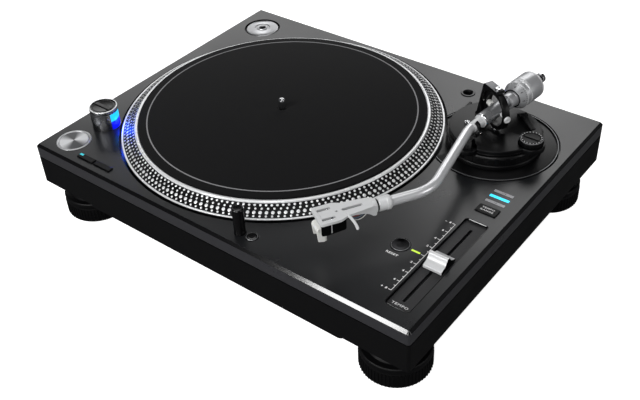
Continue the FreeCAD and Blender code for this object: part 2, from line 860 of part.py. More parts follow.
def platter():
    """Cast platter: slanted rim with a bead above and below, flat top, skirt and hub beneath."""
    body = new_piece("platter", platter_place)
    r = platter_radius
    bead = bead_outer_radius
    top = s.platter_top_z
    under = top - s.platter_web
    outline = [
        (s.shaft_radius + 0.02, s.hub_z),
        (s.hub_radius, s.hub_z),
        (s.hub_radius + 2, under),
        (bead - 2, under),
        (r - s.platter_skirt_wall, s.platter_rim_z - s.platter_web),
        (r - s.platter_skirt_wall, s.platter_skirt_z),
        (r - 1, s.platter_skirt_z),
        (r - 1, s.platter_rim_z - 1.6),
        (r, s.platter_rim_z - 1.2),
        (r, s.platter_rim_z - 0.4),
        (r - 0.5, s.platter_rim_z),
        (r - 1.4, s.platter_rim_z),
        (r - 1.9, s.platter_rim_z - 0.4),
        (bead + 0.3, top - 0.1),
        (bead, top + s.bead_height - 0.5),
        (bead - 0.6, top + s.bead_height),
        (bead - s.bead_width + 0.6, top + s.bead_height),
        (bead - s.bead_width, top + s.bead_height - 0.5),
        (bead - s.bead_width, top),
        (s.shaft_radius + 0.02, top),
    ]
    revolve(body, "PlatterProfile", [outline])


def platter_damper():
    """Rubber layer bonded under the platter against ringing."""
    body = new_piece("platter_damper", platter_place)
    z = s.platter_top_z - s.platter_web - s.damper_thickness
    outer = bead_outer_radius - s.damper_inset
    ring = top_ring(0, 0, outer, outer - s.damper_width)
    pad(body, "DamperRing", ring, z, s.damper_thickness)


def rotor_magnet():
    """Ring magnet of the direct-drive motor, glued under the platter round the coils."""
    body = new_piece("rotor_magnet", platter_place)
    z = s.platter_top_z - s.platter_web - s.magnet_height
    inner = s.stator_outer_radius + s.magnet_gap
    pad(body, "MagnetRing", top_ring(0, 0, inner + s.magnet_width, inner), z, s.magnet_height)


def spindle():
    """Motor shaft that turns with the platter and rises through it as the record spindle."""
    body = new_piece("spindle", platter_place)
    r = s.spindle_radius
    top = s.spindle_top_z
    mat_top_z = s.platter_top_z + s.mat_thickness
    outline = [
        (0, s.shaft_bottom_z),
        (s.shaft_radius - 1, s.shaft_bottom_z),
        (s.shaft_radius, s.shaft_bottom_z + 1),
        (s.shaft_radius, s.platter_top_z),
        (r - s.spindle_relief, s.platter_top_z),
        (r - s.spindle_relief, mat_top_z + s.small_gap),
        (r - s.spindle_edge, mat_top_z + s.small_gap),
        (r, mat_top_z + s.small_gap + s.spindle_edge),
        (r, top - 2.8),
        (r * 0.87, top - 1.3),
        (r * 0.5, top - 0.3),
        (0, top),
    ]
    revolve(body, "SpindleProfile", [outline])


def slipmat():
    """Felt slipmat that lies loose on the platter."""
    body = new_piece("slipmat", platter_place)
    radius = bead_outer_radius - s.bead_width - s.mat_gap
    ring = top_ring(0, 0, radius, s.spindle_radius + s.small_gap)
    pad(body, "MatDisc", ring, s.platter_top_z, s.mat_thickness)


def spindle_bearing():
    """Closed bearing sleeve that the spindle turns in, flanged to the floor of the well."""
    body = new_piece("spindle_bearing", platter_place)
    bore = s.shaft_radius + s.running_gap
    bottom = s.shaft_bottom_z - s.running_gap
    outline = [
        (0, bottom - s.bearing_end),
        (s.bearing_radius, bottom - s.bearing_end),
        (s.bearing_radius, well_floor_z),
        (s.bearing_flange_radius, well_floor_z),
        (s.bearing_flange_radius, well_floor_z + s.bearing_flange),
        (s.bearing_radius, well_floor_z + s.bearing_flange),
        (s.bearing_radius - 2, s.hub_z - s.small_gap),
        (bore, s.hub_z - s.small_gap),
        (bore, bottom),
        (0, bottom),
    ]
    revolve(body, "BearingProfile", [outline])


def motor_stator():
    """Fixed coils of the motor: a ring of laminations with a wound pole for each coil."""
    body = new_piece("motor_stator", platter_place)
    inner = s.stator_inner_radius
    pad(body, "StatorCore", top_ring(0, 0, inner + s.stator_ring, inner), well_floor_z, s.stator_height)
    reach = s.stator_outer_radius - inner - s.stator_ring / 2
    coil = rectangle(s.stator_outer_radius - reach / 2, 0, reach, s.coil_width)
    tooth = pad(body, "Coil", [coil], well_floor_z, s.stator_height - 1.5)
    doc.recompute()
    polar(body, tooth, s.coil_count)


def adapter():
    """Spare centre adapter for large-hole records, lying in its dish."""
    body = new_piece("adapter_45", (adapter_x, adapter_y, s.deck_top_z - s.adapter_seat_depth))
    r = s.adapter_radius
    h = s.adapter_height
    bore = s.spindle_radius + s.running_gap
    outline = [
        (bore, 0),
        (r - 0.5, 0),
        (r, 0.5),
        (r, h - 1.6),
        (r - 1, h - s.adapter_crown),
        (bore + 3.5, h),
        (bore + 0.5, h - 1.2),
        (bore, h - 1.6),
    ]
    revolve(body, "AdapterProfile", [outline])


def start_stop_bezel():
    """Bright sloped ring round the start and stop button."""
    body = new_piece("start_stop_bezel", (start_x, start_y, s.deck_top_z))
    hole = s.start_radius + s.button_fit
    sleeve = s.start_radius + s.start_ring_slope - 0.6
    outline = [
        (hole, -s.deck_wall),
        (sleeve, -s.deck_wall),
        (sleeve, 0),
        (s.start_ring_radius, 0),
        (s.start_ring_radius, s.start_ring_height * 0.35),
        (s.start_ring_radius - 0.9, s.start_ring_height),
        (hole + 0.9, s.start_ring_height),
        (hole, s.start_ring_height * 0.2),
    ]
    revolve(body, "BezelProfile", [outline])


def start_stop_button():
    """Round metal key with a spun face, on its plunger."""
    body = new_piece("start_stop_button", (start_x, start_y, s.deck_top_z))
    r = s.start_radius
    outline = [
        (0, -s.deck_wall - 0.2),
        (4, -s.deck_wall - 0.2),
        (4, -2.5),
        (r, -2.5),
        (r, s.start_proud - 0.5),
        (r - 0.6, s.start_proud),
        (0, s.start_proud - 0.3),
    ]
    revolve(body, "KeyProfile", [outline])


def box_button(label, x, y, width, depth, proud, plane_drop=0.0):
    """Rectangular key with bevelled edges and a stem down to its switch."""
    body = new_piece(label, (x, y, s.deck_top_z))
    cap = rectangle(0, 0, width, depth)
    pad(body, label + "Cap", [cap], -s.deck_wall, s.deck_wall + proud)
    top = as_size(proud).value
    dress(body, "Chamfer", label + "Bevel", 0.5, lambda edge, middle, way: near(middle.z, top))
    stem = rectangle(0, 0, width - 8, depth - 3)
    pad(body, label + "Stem", [stem], -s.deck_wall - 0.2 - plane_drop, 0.3)
    return body


def speed_buttons():
    """Two speed keys side by side, the first with a lit window set in its corner."""
    x = speed_x
    first = box_button("speed_33_button", x, speed_y, s.speed_width, s.speed_depth, s.speed_proud)
    lens = rectangle(
        s.lens_inset + s.lens_length / 2 - s.speed_width / 2,
        s.speed_depth / 2 - s.lens_inset - s.lens_width / 2,
        s.lens_length,
        s.lens_width,
    )
    pocket(first, "LensSeat", [lens], s.speed_proud, 1.0)
    box_button("speed_45_button", x + s.speed_pitch, speed_y, s.speed_width, s.speed_depth, s.speed_proud)
    window = new_piece("speed_33_lens", (x, speed_y, s.deck_top_z))
    pad(window, "LensBlock", [lens], s.speed_proud - 1.0, 1.05)


def strobe_pillar():
    """Hollow pillar beside the platter with a curved window that faces the dots on its rim."""
    at = (pillar_x, pillar_y, s.deck_top_z)
    r = s.pillar_radius
    shell = solid("Cylinder", "PillarOuter", at, Radius=r, Height=s.pillar_height)
    inside_height = s.pillar_height - s.pillar_wall
    inside = solid("Cylinder", "PillarInner", at, Radius=r - s.pillar_wall, Height=inside_height)
    floor_z = s.deck_top_z + s.pillar_height - s.window_top_gap - s.window_height
    turn = s.window_turn - s.window_angle / 2
    opening = solid(
        "Cylinder",
        "WindowOpening",
        (pillar_x, pillar_y, floor_z),
        turn,
        Radius=r + 1,
        Height=s.window_height,
        Angle=s.window_angle,
    )
    top_z = s.deck_top_z + s.pillar_height - 3
    stem_radius = s.knob_stem_radius + s.running_gap
    stem_hole = solid("Cylinder", "StemHole", (pillar_x, pillar_y, top_z), Radius=stem_radius, Height=4)
    walls = cut("PillarWalls", shell, inside)
    opened = cut("PillarOpened", walls, opening)
    housing = cut("strobe_housing", opened, stem_hole)
    pieces.append(housing)
    lens_outer = solid(
        "Cylinder",
        "LensOuter",
        (pillar_x, pillar_y, floor_z),
        turn,
        Radius=r - 0.4,
        Height=s.window_height,
        Angle=s.window_angle,
    )
    below = (pillar_x, pillar_y, floor_z - 1)
    lens_inner = solid("Cylinder", "LensInner", below, Radius=r - s.pillar_wall, Height=s.window_height + 2)
    lens = cut("strobe_window", lens_outer, lens_inner)
    pieces.append(lens)


def power_knob():
    """Rotary power switch on top of the pillar: bright rim, dished face and a raised grip."""
    top_z = s.deck_top_z + s.pillar_height
    body = new_piece("power_knob", (pillar_x, pillar_y, top_z))
    r = s.pillar_radius
    h = s.knob_height
    outline = [
        (0, 0 - s.knob_stem_length),
        (s.knob_stem_radius, 0 - s.knob_stem_length),
        (s.knob_stem_radius, s.small_gap),
        (r - 0.4, s.small_gap),
        (r, s.small_gap + 0.4),
        (r, h - 0.6),
        (r - 0.5, h),
        (r - s.knob_rim, h),
        (r - s.knob_rim - 0.4, h - s.knob_dish),
        (0, h - s.knob_dish),
    ]
    revolve(body, "PowerKnobProfile", [outline])
    grip = rectangle(0, 0, (r - s.knob_rim) * 2 - 5, s.knob_grip_width)
    pad(body, "Grip", [grip], h - s.knob_dish, s.knob_dish)


def stylus_light():
    """Pop-up lamp for the stylus, shown raised, with its lens cut in the side near the top."""
    body = new_piece("stylus_light", (light_x, light_y, s.deck_top_z))
    r = s.light_radius
    top = s.light_height
    outline = [
        (0, -s.deck_wall - 2),
        (r + s.button_flange, -s.deck_wall - 2),
        (r + s.button_flange, -s.deck_wall - s.small_gap),
        (r, -s.deck_wall - s.small_gap),
        (r, top - 0.8),
        (r - 0.8, top),
        (0, top),
    ]
    revolve(body, "LampProfile", [outline])
    facing = rectangle(0, r, r * 1.2, 3.0)
    pocket(body, "LampWindow", [facing], top - 2.5, 5.0)


def round_button(label, x, y, radius, proud, dish=0.0):
    """Round key with a flange that keeps it under the panel."""
    body = new_piece(label, (x, y, s.deck_top_z))
    outline = [
        (0, -s.deck_wall - s.button_flange - s.small_gap),
        (radius + s.button_flange, -s.deck_wall - s.button_flange - s.small_gap),
        (radius + s.button_flange, -s.deck_wall - s.small_gap),
        (radius, -s.deck_wall - s.small_gap),
        (radius, proud - 0.5),
        (radius - 0.5, proud),
        (radius - 1.2, proud),
        (0, proud - dish),
    ]
    revolve(body, label + "Profile", [outline])


def tempo_panel():
    """Slotted panel on the floor of the fader well."""
    body = new_piece("tempo_panel", (fader_x, fader_y, fader_floor_z))
    outer = rectangle(0, 0, s.fader_well_width - s.small_gap * 2, s.fader_well_length - s.small_gap * 2)
    slot = rectangle(0, 0, s.fader_slot_width, s.fader_slot_length)
    pad(body, "TempoPlate", [outer, slot], 0, s.fader_panel_thickness)
    corner = s.fader_well_width.value / 2 - s.small_gap.value
    dress(
        body,
        "Fillet",
        "TempoCorners",
        s.corner_radius,
        lambda edge, middle, way: upright(way) and near(abs(middle.x), corner),
    )


def tempo_potentiometer():
    """Slide potentiometer under the fader's slot."""
    body = new_piece("tempo_potentiometer", (fader_x, fader_y, fader_floor_z - s.boss_wall))
    outer = rectangle(0, 0, s.fader_pot_width, s.fader_slot_length + s.fader_pot_end * 2)
    inner = rectangle(0, 0, s.fader_slot_width, s.fader_slot_length)
    pad(body, "PotCase", [outer], -s.fader_pot_height - 1, s.fader_pot_height + 1)
    pocket(body, "PotSlot", [inner], 0, s.fader_pot_height)


def fader_cap():
    """Bright fader cap: waisted flanks up to a narrow ridge, on a flat lever through the slot."""
    body = new_piece("fader_cap", (fader_x, fader_y, fader_floor_z + s.fader_panel_thickness))
    half = s.fader_cap_length / 2
    ridge = s.fader_ridge_width / 2
    low = s.small_gap
    top = s.fader_well_depth - s.fader_panel_thickness + s.fader_cap_height
    outline = [
        (0 - half, low),
        (half, low),
        (half, low + 2.6),
        (half - 1.6, low + 4.0),
        (ridge + 3.2, top * 0.55),
        (ridge, top - 0.6),
        (ridge - 0.6, top),
        (0.6 - ridge, top),
        (0 - ridge, top - 0.6),
        (0 - ridge - 3.2, top * 0.55),
        (1.6 - half, low + 4.0),
        (0 - half, low + 2.6),
    ]
    pad(body, "CapProfile", [outline], 0 - s.fader_cap_width / 2, s.fader_cap_width, plane="YZ_Plane")
    stem = rectangle(0, 0, s.fader_stem_width, s.fader_stem_length)
    depth = s.fader_panel_thickness + s.boss_wall + s.fader_pot_height - 1
    pad(body, "Lever", [stem], 0 - depth, depth + 1)


def indicator_windows():
    """Light windows in the panel: one at the fader's middle and one for each tempo range."""
    z = deck_under_z
    height = s.deck_wall + s.indicator_proud
    windows = [
        solid(
            "Box",
            "ZeroLight",
            (zero_light_x - s.zero_light_length / 2, reset_y - s.zero_light_width / 2, z),
            Length=s.zero_light_length,
            Width=s.zero_light_width,
            Height=height,
        )
    ]
    for number in range(3):
        y = indicator_y + s.indicator_pitch * number - s.indicator_width / 2
        at = (range_x - s.indicator_length / 2, y, z)
        tag = f"RangeLight{number}"
        bar = solid("Box", tag, at, Length=s.indicator_length, Width=s.indicator_width, Height=height)
        windows.append(bar)
    group("indicator_windows", windows)


def board(name, plates, spacers, switches):
    """Circuit board hung from the deck on spacers, with a block for each switch."""
    solids = []
    for number, (left, front, width, depth) in enumerate(plates):
        at = (left, front, board_z - s.board_thickness)
        tag = f"{name}Plate{number}"
        solids.append(solid("Box", tag, at, Length=width, Width=depth, Height=s.board_thickness))
    for number, (spacer_x, spacer_y) in enumerate(spacers):
        at = (spacer_x, spacer_y, board_z - 0.5)
        tag = f"{name}Spacer{number}"
        solids.append(solid("Cylinder", tag, at, Radius=s.board_spacer_radius, Height=s.board_drop + 0.5))
    for number, (switch_x, switch_y) in enumerate(switches):
        at = (switch_x - 3, switch_y - 3, board_z - 0.5)
        solids.append(solid("Box", f"{name}Switch{number}", at, Length=6, Width=6, Height=2.0))
    return fuse(name, solids)


def switch_boards():
    """Boards under the left and right controls."""
    front = start_y - 21
    left = board(
        "LeftBoard",
        [(start_x - 21.4, front, 61.4, 25), (start_x + 39, front, 21.6, 13)],
        [(start_x - 18.4, front + 3.7), (start_x + 18.6, front + 3.7), (start_x + 36, start_y - 5.5)],
        [(start_x, start_y), (speed_x, speed_y), (speed_x + s.speed_pitch, speed_y)],
    )
    side = s.range_width / 2 + s.board_spacer_radius
    corners = [(range_x + side * way, range_y + y) for way in (-1, 1) for y in (-10, 20)]
    right = board(
        "RightBoard",
        [(range_x - side - 3, range_y - 14, side * 2 + 6, 38)],
        corners,
        [(range_x, range_y)],
    )
    group("switch_boards", [left, right])


def power_supply():
    """Supply board with its transformer and coolers on the chassis floor."""
    floor_z = s.chassis_bottom_z + s.chassis_floor
    x = supply_x - s.supply_length / 2
    y = supply_y - s.supply_width / 2
    at = (x, y, floor_z)
    base = solid("Box", "SupplyBoard", at, Length=s.supply_length, Width=s.supply_width, Height=4)
    z = floor_z + 3
    core = solid("Box", "Transformer", (x + 12, y + 10, z), Length=38, Width=34, Height=s.supply_height - 3)
    cooler = solid("Box", "Cooler", (x + 66, y + 8, z), Length=4, Width=44, Height=s.supply_height - 5)
    can_x = x + s.supply_length * 0.7
    can = solid("Cylinder", "Reservoir", (can_x, y + 20, z), Radius=9, Height=s.supply_height - 4)
    supply = fuse("power_supply", [base, core, cooler, can])
    pieces.append(supply)


def headshell_holder():
    """Lined hole in the deck that stores a spare headshell by its plug."""
    body = new_piece("headshell_holder", (holder_x, holder_y, s.deck_top_z))
    sleeve = s.holder_radius - 1.5
    outline = [
        (0, 0 - s.holder_depth),
        (sleeve, 0 - s.holder_depth),
        (sleeve, 0),
        (s.holder_radius, 0),
        (s.holder_radius, s.holder_flange * 0.5),
        (s.holder_radius - 0.5, s.holder_flange),
        (s.holder_bore_radius + 1, s.holder_flange),
        (s.holder_bore_radius, s.holder_flange - 0.8),
        (s.holder_bore_radius, 1.2 - s.holder_depth),
        (0, 1.2 - s.holder_depth),
    ]
    revolve(body, "HolderProfile", [outline])


def back_sockets():
    """Mains inlet, two phono sockets and the earth post in the back wall, and the earth nut."""
    back = half_depth
    inlet = new_piece("mains_inlet", (inlet_x, back, s.socket_z))
    frame = rectangle(0, 0, s.inlet_width - 0.2, s.inlet_height - 0.2)
    pad(inlet, "InletBlock", [frame], 0 - s.inlet_depth, s.inlet_depth, plane="XZ_Plane")
    mouth = rectangle(0, 0, s.inlet_width - 5, s.inlet_height - 5)
    pocket(inlet, "InletMouth", [mouth], 0, s.inlet_depth - 4, plane="XZ_Plane")
    for number, offset in enumerate((-7, 0, 7)):
        blade = rectangle(offset, 2 if offset == 0 else -2, 2, 4)
        pad(inlet, f"Blade{number}", [blade], 3 - s.inlet_depth, s.inlet_blade_length, plane="XZ_Plane")
    recess = s.socket_recess_depth
    solids = []
    for number, step in enumerate((-1, 0)):
        x = socket_plate_x + s.phono_pitch * step
        jack = doc.addObject("PartDesign::Body", f"Phono{number}")
        place(jack, (x, back - recess, s.socket_z))
        r = s.phono_radius - 0.05
        outline = [
            (0, 0 - s.phono_length * 0.6),
            (r, 0 - s.phono_length * 0.6),
            (r, 0),
            (r + 1.6, 0),
            (r + 1.6, 1.2),
            (r, 1.2),
            (r, s.phono_length * 0.72),
            (1.7, s.phono_length * 0.72),
            (1.7, 0),
            (0, 0),
        ]
        revolve(jack, f"PhonoProfile{number}", [outline], plane="XY_Plane")
        solids.append(jack)
    post_x = socket_plate_x + s.phono_pitch * 1.5
    post = doc.addObject("PartDesign::Body", "EarthPost")
    place(post, (post_x, back - recess, s.socket_z))
    outline = [
        (0, 0 - s.socket_box_wall),
        (2.15, 0 - s.socket_box_wall),
        (2.15, 0),
        (4, 0),
        (4, 0.8),
        (2, 0.8),
        (2, s.ground_nut_height + 2),
        (0, s.ground_nut_height + 2),
    ]
    revolve(post, "EarthPostProfile", [outline], plane="XY_Plane")
    solids.append(post)
    group("rear_terminals", solids)
    nut = new_piece("ground_nut", (post_x, back - recess, s.socket_z))
    r = s.ground_nut_radius
    start = 0.8 + s.small_gap
    outline = [
        (2 + s.running_gap, start),
        (r - 1, start),
        (r, start + 1),
        (r, start + s.ground_nut_height - 1),
        (r - 1, start + s.ground_nut_height - 0.4),
        (2 + s.running_gap, start + s.ground_nut_height - 0.4),
    ]
    revolve(nut, "EarthNutProfile", [outline], plane="XY_Plane")


def arm_plate():
    """Round casting sunk in the deck under the tonearm: rim, flat and the fixed threaded mount."""
    body = new_piece("arm_plate", (pivot_x, pivot_y, 0))
    bore = s.arm_column_radius + s.running_gap
    r = s.arm_plate_radius
    ring_in = r + s.trim_ring_gap
    ring_out = ring_in + s.trim_ring_width
    top = arm_plate_top_z
    outline = [
        (bore, arm_seat_z),
        (ring_out, arm_seat_z),
        (ring_out, s.deck_top_z + 0.1),
        (ring_out - 0.4, s.deck_top_z + 0.4),
        (ring_in + 0.4, s.deck_top_z + 0.4),
        (ring_in, s.deck_top_z + 0.1),
        (ring_in, top - 1.2),
        (r, top - 1.2),
        (r, top),
        (s.mount_radius, top - 1),
        (s.mount_radius, s.height_ring_top_z),
        (bore, s.height_ring_top_z),
    ]
    revolve(body, "ArmPlateProfile", [outline])
    away_x = 0 - pivot_distance * cosine(s.pivot_bearing)
    away_y = 0 - pivot_distance * sine(s.pivot_bearing)
    pocket(body, "PlatterSide", [circle(away_x, away_y, well_radius)], s.deck_top_z + 1, s.deck_height)


def height_ring():
    """Fluted ring that is turned to raise or lower the tonearm base."""
    body = new_piece("height_ring", (pivot_x, pivot_y, 0))
    bottom = arm_plate_top_z + s.small_gap
    r = s.height_ring_radius
    top = s.height_ring_top_z
    outline = [
        (s.mount_radius + s.running_gap, bottom),
        (r - 0.8, bottom),
        (r, bottom + 0.8),
        (r, bottom + 4),
        (r - 0.6, bottom + 4.5),
        (r - 0.6, top - 6.5),
        (r, top - 6),
        (r, top - 1),
        (r - 1, top),
        (s.mount_radius + s.running_gap, top),
    ]
    revolve(body, "HeightRingProfile", [outline])
    notch = rectangle(r + 0.6, 0, s.flute_depth * 2 + 1.2, 2.6)
    flute = pocket(body, "Flute", [notch], top + 0.5, 6.2)
    doc.recompute()
    polar(body, flute, s.height_ring_flutes)


def height_lock():
    """Small lever that clamps the height ring, on a post beside it."""
    x, y = on_pivot(s.lock_angle, s.lock_distance)
    body = new_piece("height_lock", (x, y, arm_plate_top_z + s.small_gap), s.lock_angle - 56)
    r = s.lock_radius
    outline = [(0, 0), (r, 0), (r, 9), (r - 1, 10), (0, 10)]
    revolve(body, "LockPost", [outline])
    reach = s.lock_lever_length
    lever = [(0, 0 - r * 0.8), (reach, -1.6), (reach + 1.4, 0), (reach, 1.6), (0, r * 0.8)]
    pad(body, "LockLever", [lever], 6, 3)


def arm_base():
    """Platform that carries the tonearm, on a column that slides in the mount."""
    body = new_piece("arm_base", (pivot_x, pivot_y, 0))
    low = s.height_ring_top_z + s.small_gap * 2
    column = s.arm_column_radius
    outline = [
        (0, s.arm_column_bottom_z),
        (column, s.arm_column_bottom_z),
        (column, low),
        (s.arm_base_radius - 0.6, low),
        (s.arm_base_radius, low + 0.6),
        (s.arm_base_radius, s.arm_base_low_z),
        (0, s.arm_base_low_z),
    ]
    revolve(body, "ArmBaseDisc", [outline])
    raised = s.arm_base_top_z - s.arm_base_low_z
    pad(body, "RaisedDeck", [circle(0, 0, s.arm_base_radius)], s.arm_base_low_z, raised)
    far = s.arm_base_radius + 4
    sweep = [
        (0, 0),
        (far * 1.1, far * -0.06),
        (far * 1.1, far),
        (far * -0.62, far),
    ]
    pocket(body, "WeightClearance", [sweep], s.arm_base_top_z, raised)
    knob_x = s.skate_distance * cosine(s.skate_angle)
    knob_y = s.skate_distance * sine(s.skate_angle)
    lobe = circle(knob_x, knob_y, s.skate_radius + s.skate_lobe)
    pad(body, "SkateLobe", [lobe], low, s.arm_base_top_z - low)
    rest_x, rest_y = rest_point()
    lobe = circle(rest_x, rest_y, s.rest_lobe_radius)
    pad(body, "RestLobe", [lobe], low, s.arm_base_top_z - low)
    pit = circle(0, 0, s.gimbal_pit_radius)
    pocket(body, "GimbalPit", [pit], s.arm_base_top_z, s.arm_base_top_z - pit_floor_z)
    post_x, post_y = lifter_post()
    post = circle(post_x, post_y, s.lifter_post_radius + s.running_gap)
    pocket(body, "LifterBore", [post], s.arm_base_top_z, s.arm_base_top_z - low - 1)
    ears = s.cue_lever_width / 2 + s.small_gap + s.cue_ear / 2
    height = cue_axis_z + 2 - s.arm_base_low_z + 0.5
    for name, side in (("CueEarFront", -1), ("CueEarBack", 1)):
        ear = []
        for x, y in rectangle(0, ears * side, s.cue_hub_radius * 2, s.cue_ear):
            turned_x, turned_y = spun(x, y, s.cue_lever_angle)
            ear.append((s.cue_x + turned_x, s.cue_y + turned_y))
        pad(body, name, [ear], s.arm_base_low_z - 0.5, height)


cue_axis_z = s.arm_base_low_z + s.cue_hub_radius + s.small_gap
pit_floor_z = s.arm_axis_z - s.gimbal_outer_radius - 2.0
lifter_end_way = arm_forward - s.lifter_span


def lifter_post():
    """The lifter's post in the tonearm base's own frame, at the platter end of its rail."""
    return s.lifter_radius * cosine(lifter_end_way), s.lifter_radius * sine(lifter_end_way)


def yoke():
    """Arched bracket that rises on the platter side and holds the upper pivot over the gimbal."""
    body = new_piece("yoke", (pivot_x, pivot_y, s.arm_axis_z), 180 - s.yoke_angle)
    base = s.arm_base_top_z - s.arm_axis_z
    hollow = s.gimbal_outer_radius + s.yoke_clearance
    foot_x = s.yoke_foot
    top = s.yoke_top_height
    outline = [
        (hollow * 0.76, base),
        (foot_x + 2, base),
        (foot_x + 2, base + 2),
        (foot_x, base + 4),
        (s.yoke_top_foot, top - 1.5),
        (s.yoke_top_foot - 1.5, top),
        (2 - s.yoke_overhang, top),
        (0 - s.yoke_overhang, top - 1.2),
        (0 - s.yoke_overhang, hollow * 0.7),
        (hollow * 0.5, hollow * 0.5),
    ]
    pad(body, "YokePlate", [outline], 0 - s.yoke_width / 2, s.yoke_width, plane="XZ_Plane")
    pocket(body, "YokeArch", [circle(0, 0, hollow)], s.yoke_width, s.yoke_width * 2, plane="XZ_Plane")
    pocket(body, "PivotBore", [circle(0, 0, s.pivot_tip_radius + s.running_gap)], top + 1, top)


def yoke_pivots():
    """Headed pivot screw on top of the yoke and the pivot stud in the base below."""
    ring = s.gimbal_outer_radius
    top = s.yoke_top_height
    upper = doc.addObject("PartDesign::Body", "UpperPivot")
    place(upper, (pivot_x, pivot_y, s.arm_axis_z))
    outline = [
        (0, ring + s.running_gap),
        (s.pivot_tip_radius, ring + s.running_gap),
        (s.pivot_tip_radius, ring + s.yoke_clearance - 0.1),
        (s.pivot_tip_radius, top),
        (s.pivot_screw_radius, top),
        (s.pivot_screw_radius, top + 1.1),
        (s.pivot_screw_radius - 0.8, top + 1.8),
        (0, top + 1.8),
    ]
    revolve(upper, "UpperPivotProfile", [outline])
    lower = doc.addObject("PartDesign::Body", "LowerPivot")
    place(lower, (pivot_x, pivot_y, pit_floor_z))
    height = s.arm_axis_z - ring - pit_floor_z - s.running_gap
    outline = [
        (0, 0),
        (s.pivot_screw_radius, 0),
        (s.pivot_screw_radius, 1),
        (s.pivot_tip_radius, height),
        (0, height),
    ]
    revolve(lower, "LowerPivotProfile", [outline])
    group("yoke_pivots", [upper, lower])


def gimbal_ring():
    """Upright ring that swings with the tonearm and holds its level pivots."""
    body = new_piece("gimbal_ring", (pivot_x, pivot_y, s.arm_axis_z), 0 - s.gimbal_angle)
    ring = [circle(0, 0, s.gimbal_outer_radius), circle(0, 0, s.gimbal_inner_radius)]
    pad(body, "Ring", ring, 0 - s.gimbal_width / 2, s.gimbal_width, plane="XZ_Plane")
    hole = circle(0, 0, s.pivot_tip_radius + s.running_gap)
    ends = s.gimbal_outer_radius + 1
    pocket(body, "SideHoles", [hole], ends, ends * 2, plane="YZ_Plane")


def gimbal_pivots():
    """Bright pivot screw on the near side of the ring and the white bearing stub on the other."""
    solids = []
    outer = s.gimbal_outer_radius
    inner = s.gimbal_inner_radius
    shank = s.pivot_tip_radius
    reach = s.sleeve_radius + s.boss_reach
    for name, way, head, length in (
        ("NearPivot", 0 - s.gimbal_angle, s.pivot_screw_radius, 1.8),
        ("FarPivot", 180 - s.gimbal_angle, s.pivot_screw_radius * 0.85, 1.0),
    ):
        screw = doc.addObject("PartDesign::Body", name)
        place(screw, (pivot_x, pivot_y, s.arm_axis_z), way)
        outline = [
            (reach, 0),
            (reach, shank * 0.6),
            (reach + 1.0, shank),
            (inner - 4.2, shank),
            (inner - 4.2, head * 0.8),
            (inner - 0.4, head * 0.8),
            (inner - 0.4, shank),
            (outer, shank),
            (outer, head),
            (outer + length * 0.6, head),
            (outer + length, head - 0.7),
            (outer + length, 0),
        ]
        revolve(screw, name + "Profile", [outline], axis="H_Axis")
        solids.append(screw)
    group("gimbal_pivots", solids)


def arm_sleeve():
    """Machined sleeve through the gimbal with its cross boss, and the shaft behind it."""
    body = new_piece("arm_sleeve", (pivot_x, pivot_y, s.arm_axis_z), arm_forward)
    r = s.sleeve_radius
    shaft = s.rear_shaft_radius
    end = 0 - s.rear_shaft_length
    outline = [
        (end, 0),
        (end, shaft - 0.8),
        (end + 0.8, shaft),
        (end + 4.0, shaft),
        (end + 4.2, shaft - 0.8),
        (end + 6.8, shaft - 0.8),
        (end + 7.0, shaft),
        (-9, shaft),
        (-8, r),
        (s.sleeve_length - 2.4, r),
        (s.sleeve_length - 2.2, r + 0.4),
        (s.sleeve_length - 0.4, r + 0.4),
        (s.sleeve_length, r),
        (s.sleeve_length, 0),
    ]
    revolve(body, "SleeveProfile", [outline], axis="H_Axis")
    reach = s.sleeve_radius + s.boss_reach - s.running_gap
    way = 0 - s.gimbal_angle - arm_forward
    boss = []
    for end, side in ((-1, -1), (1, -1), (1, 1), (-1, 1)):
        x = reach * end * cosine(way) - s.boss_half_width * side * sine(way)
        y = reach * end * sine(way) + s.boss_half_width * side * cosine(way)
        boss.append((x, y))
    pad(body, "CrossBoss", [boss], 0 - s.boss_half_width, s.boss_half_width * 2)


def path_arc(sketch, centre, radius, start, end):
    arc = Part.ArcOfCircle(
        Part.Circle(FreeCAD.Vector(centre[0], centre[1], 0), FreeCAD.Vector(0, 0, 1), radius),
        math.radians(start),
        math.radians(end),
    )
    return sketch.addGeometry(arc, False)


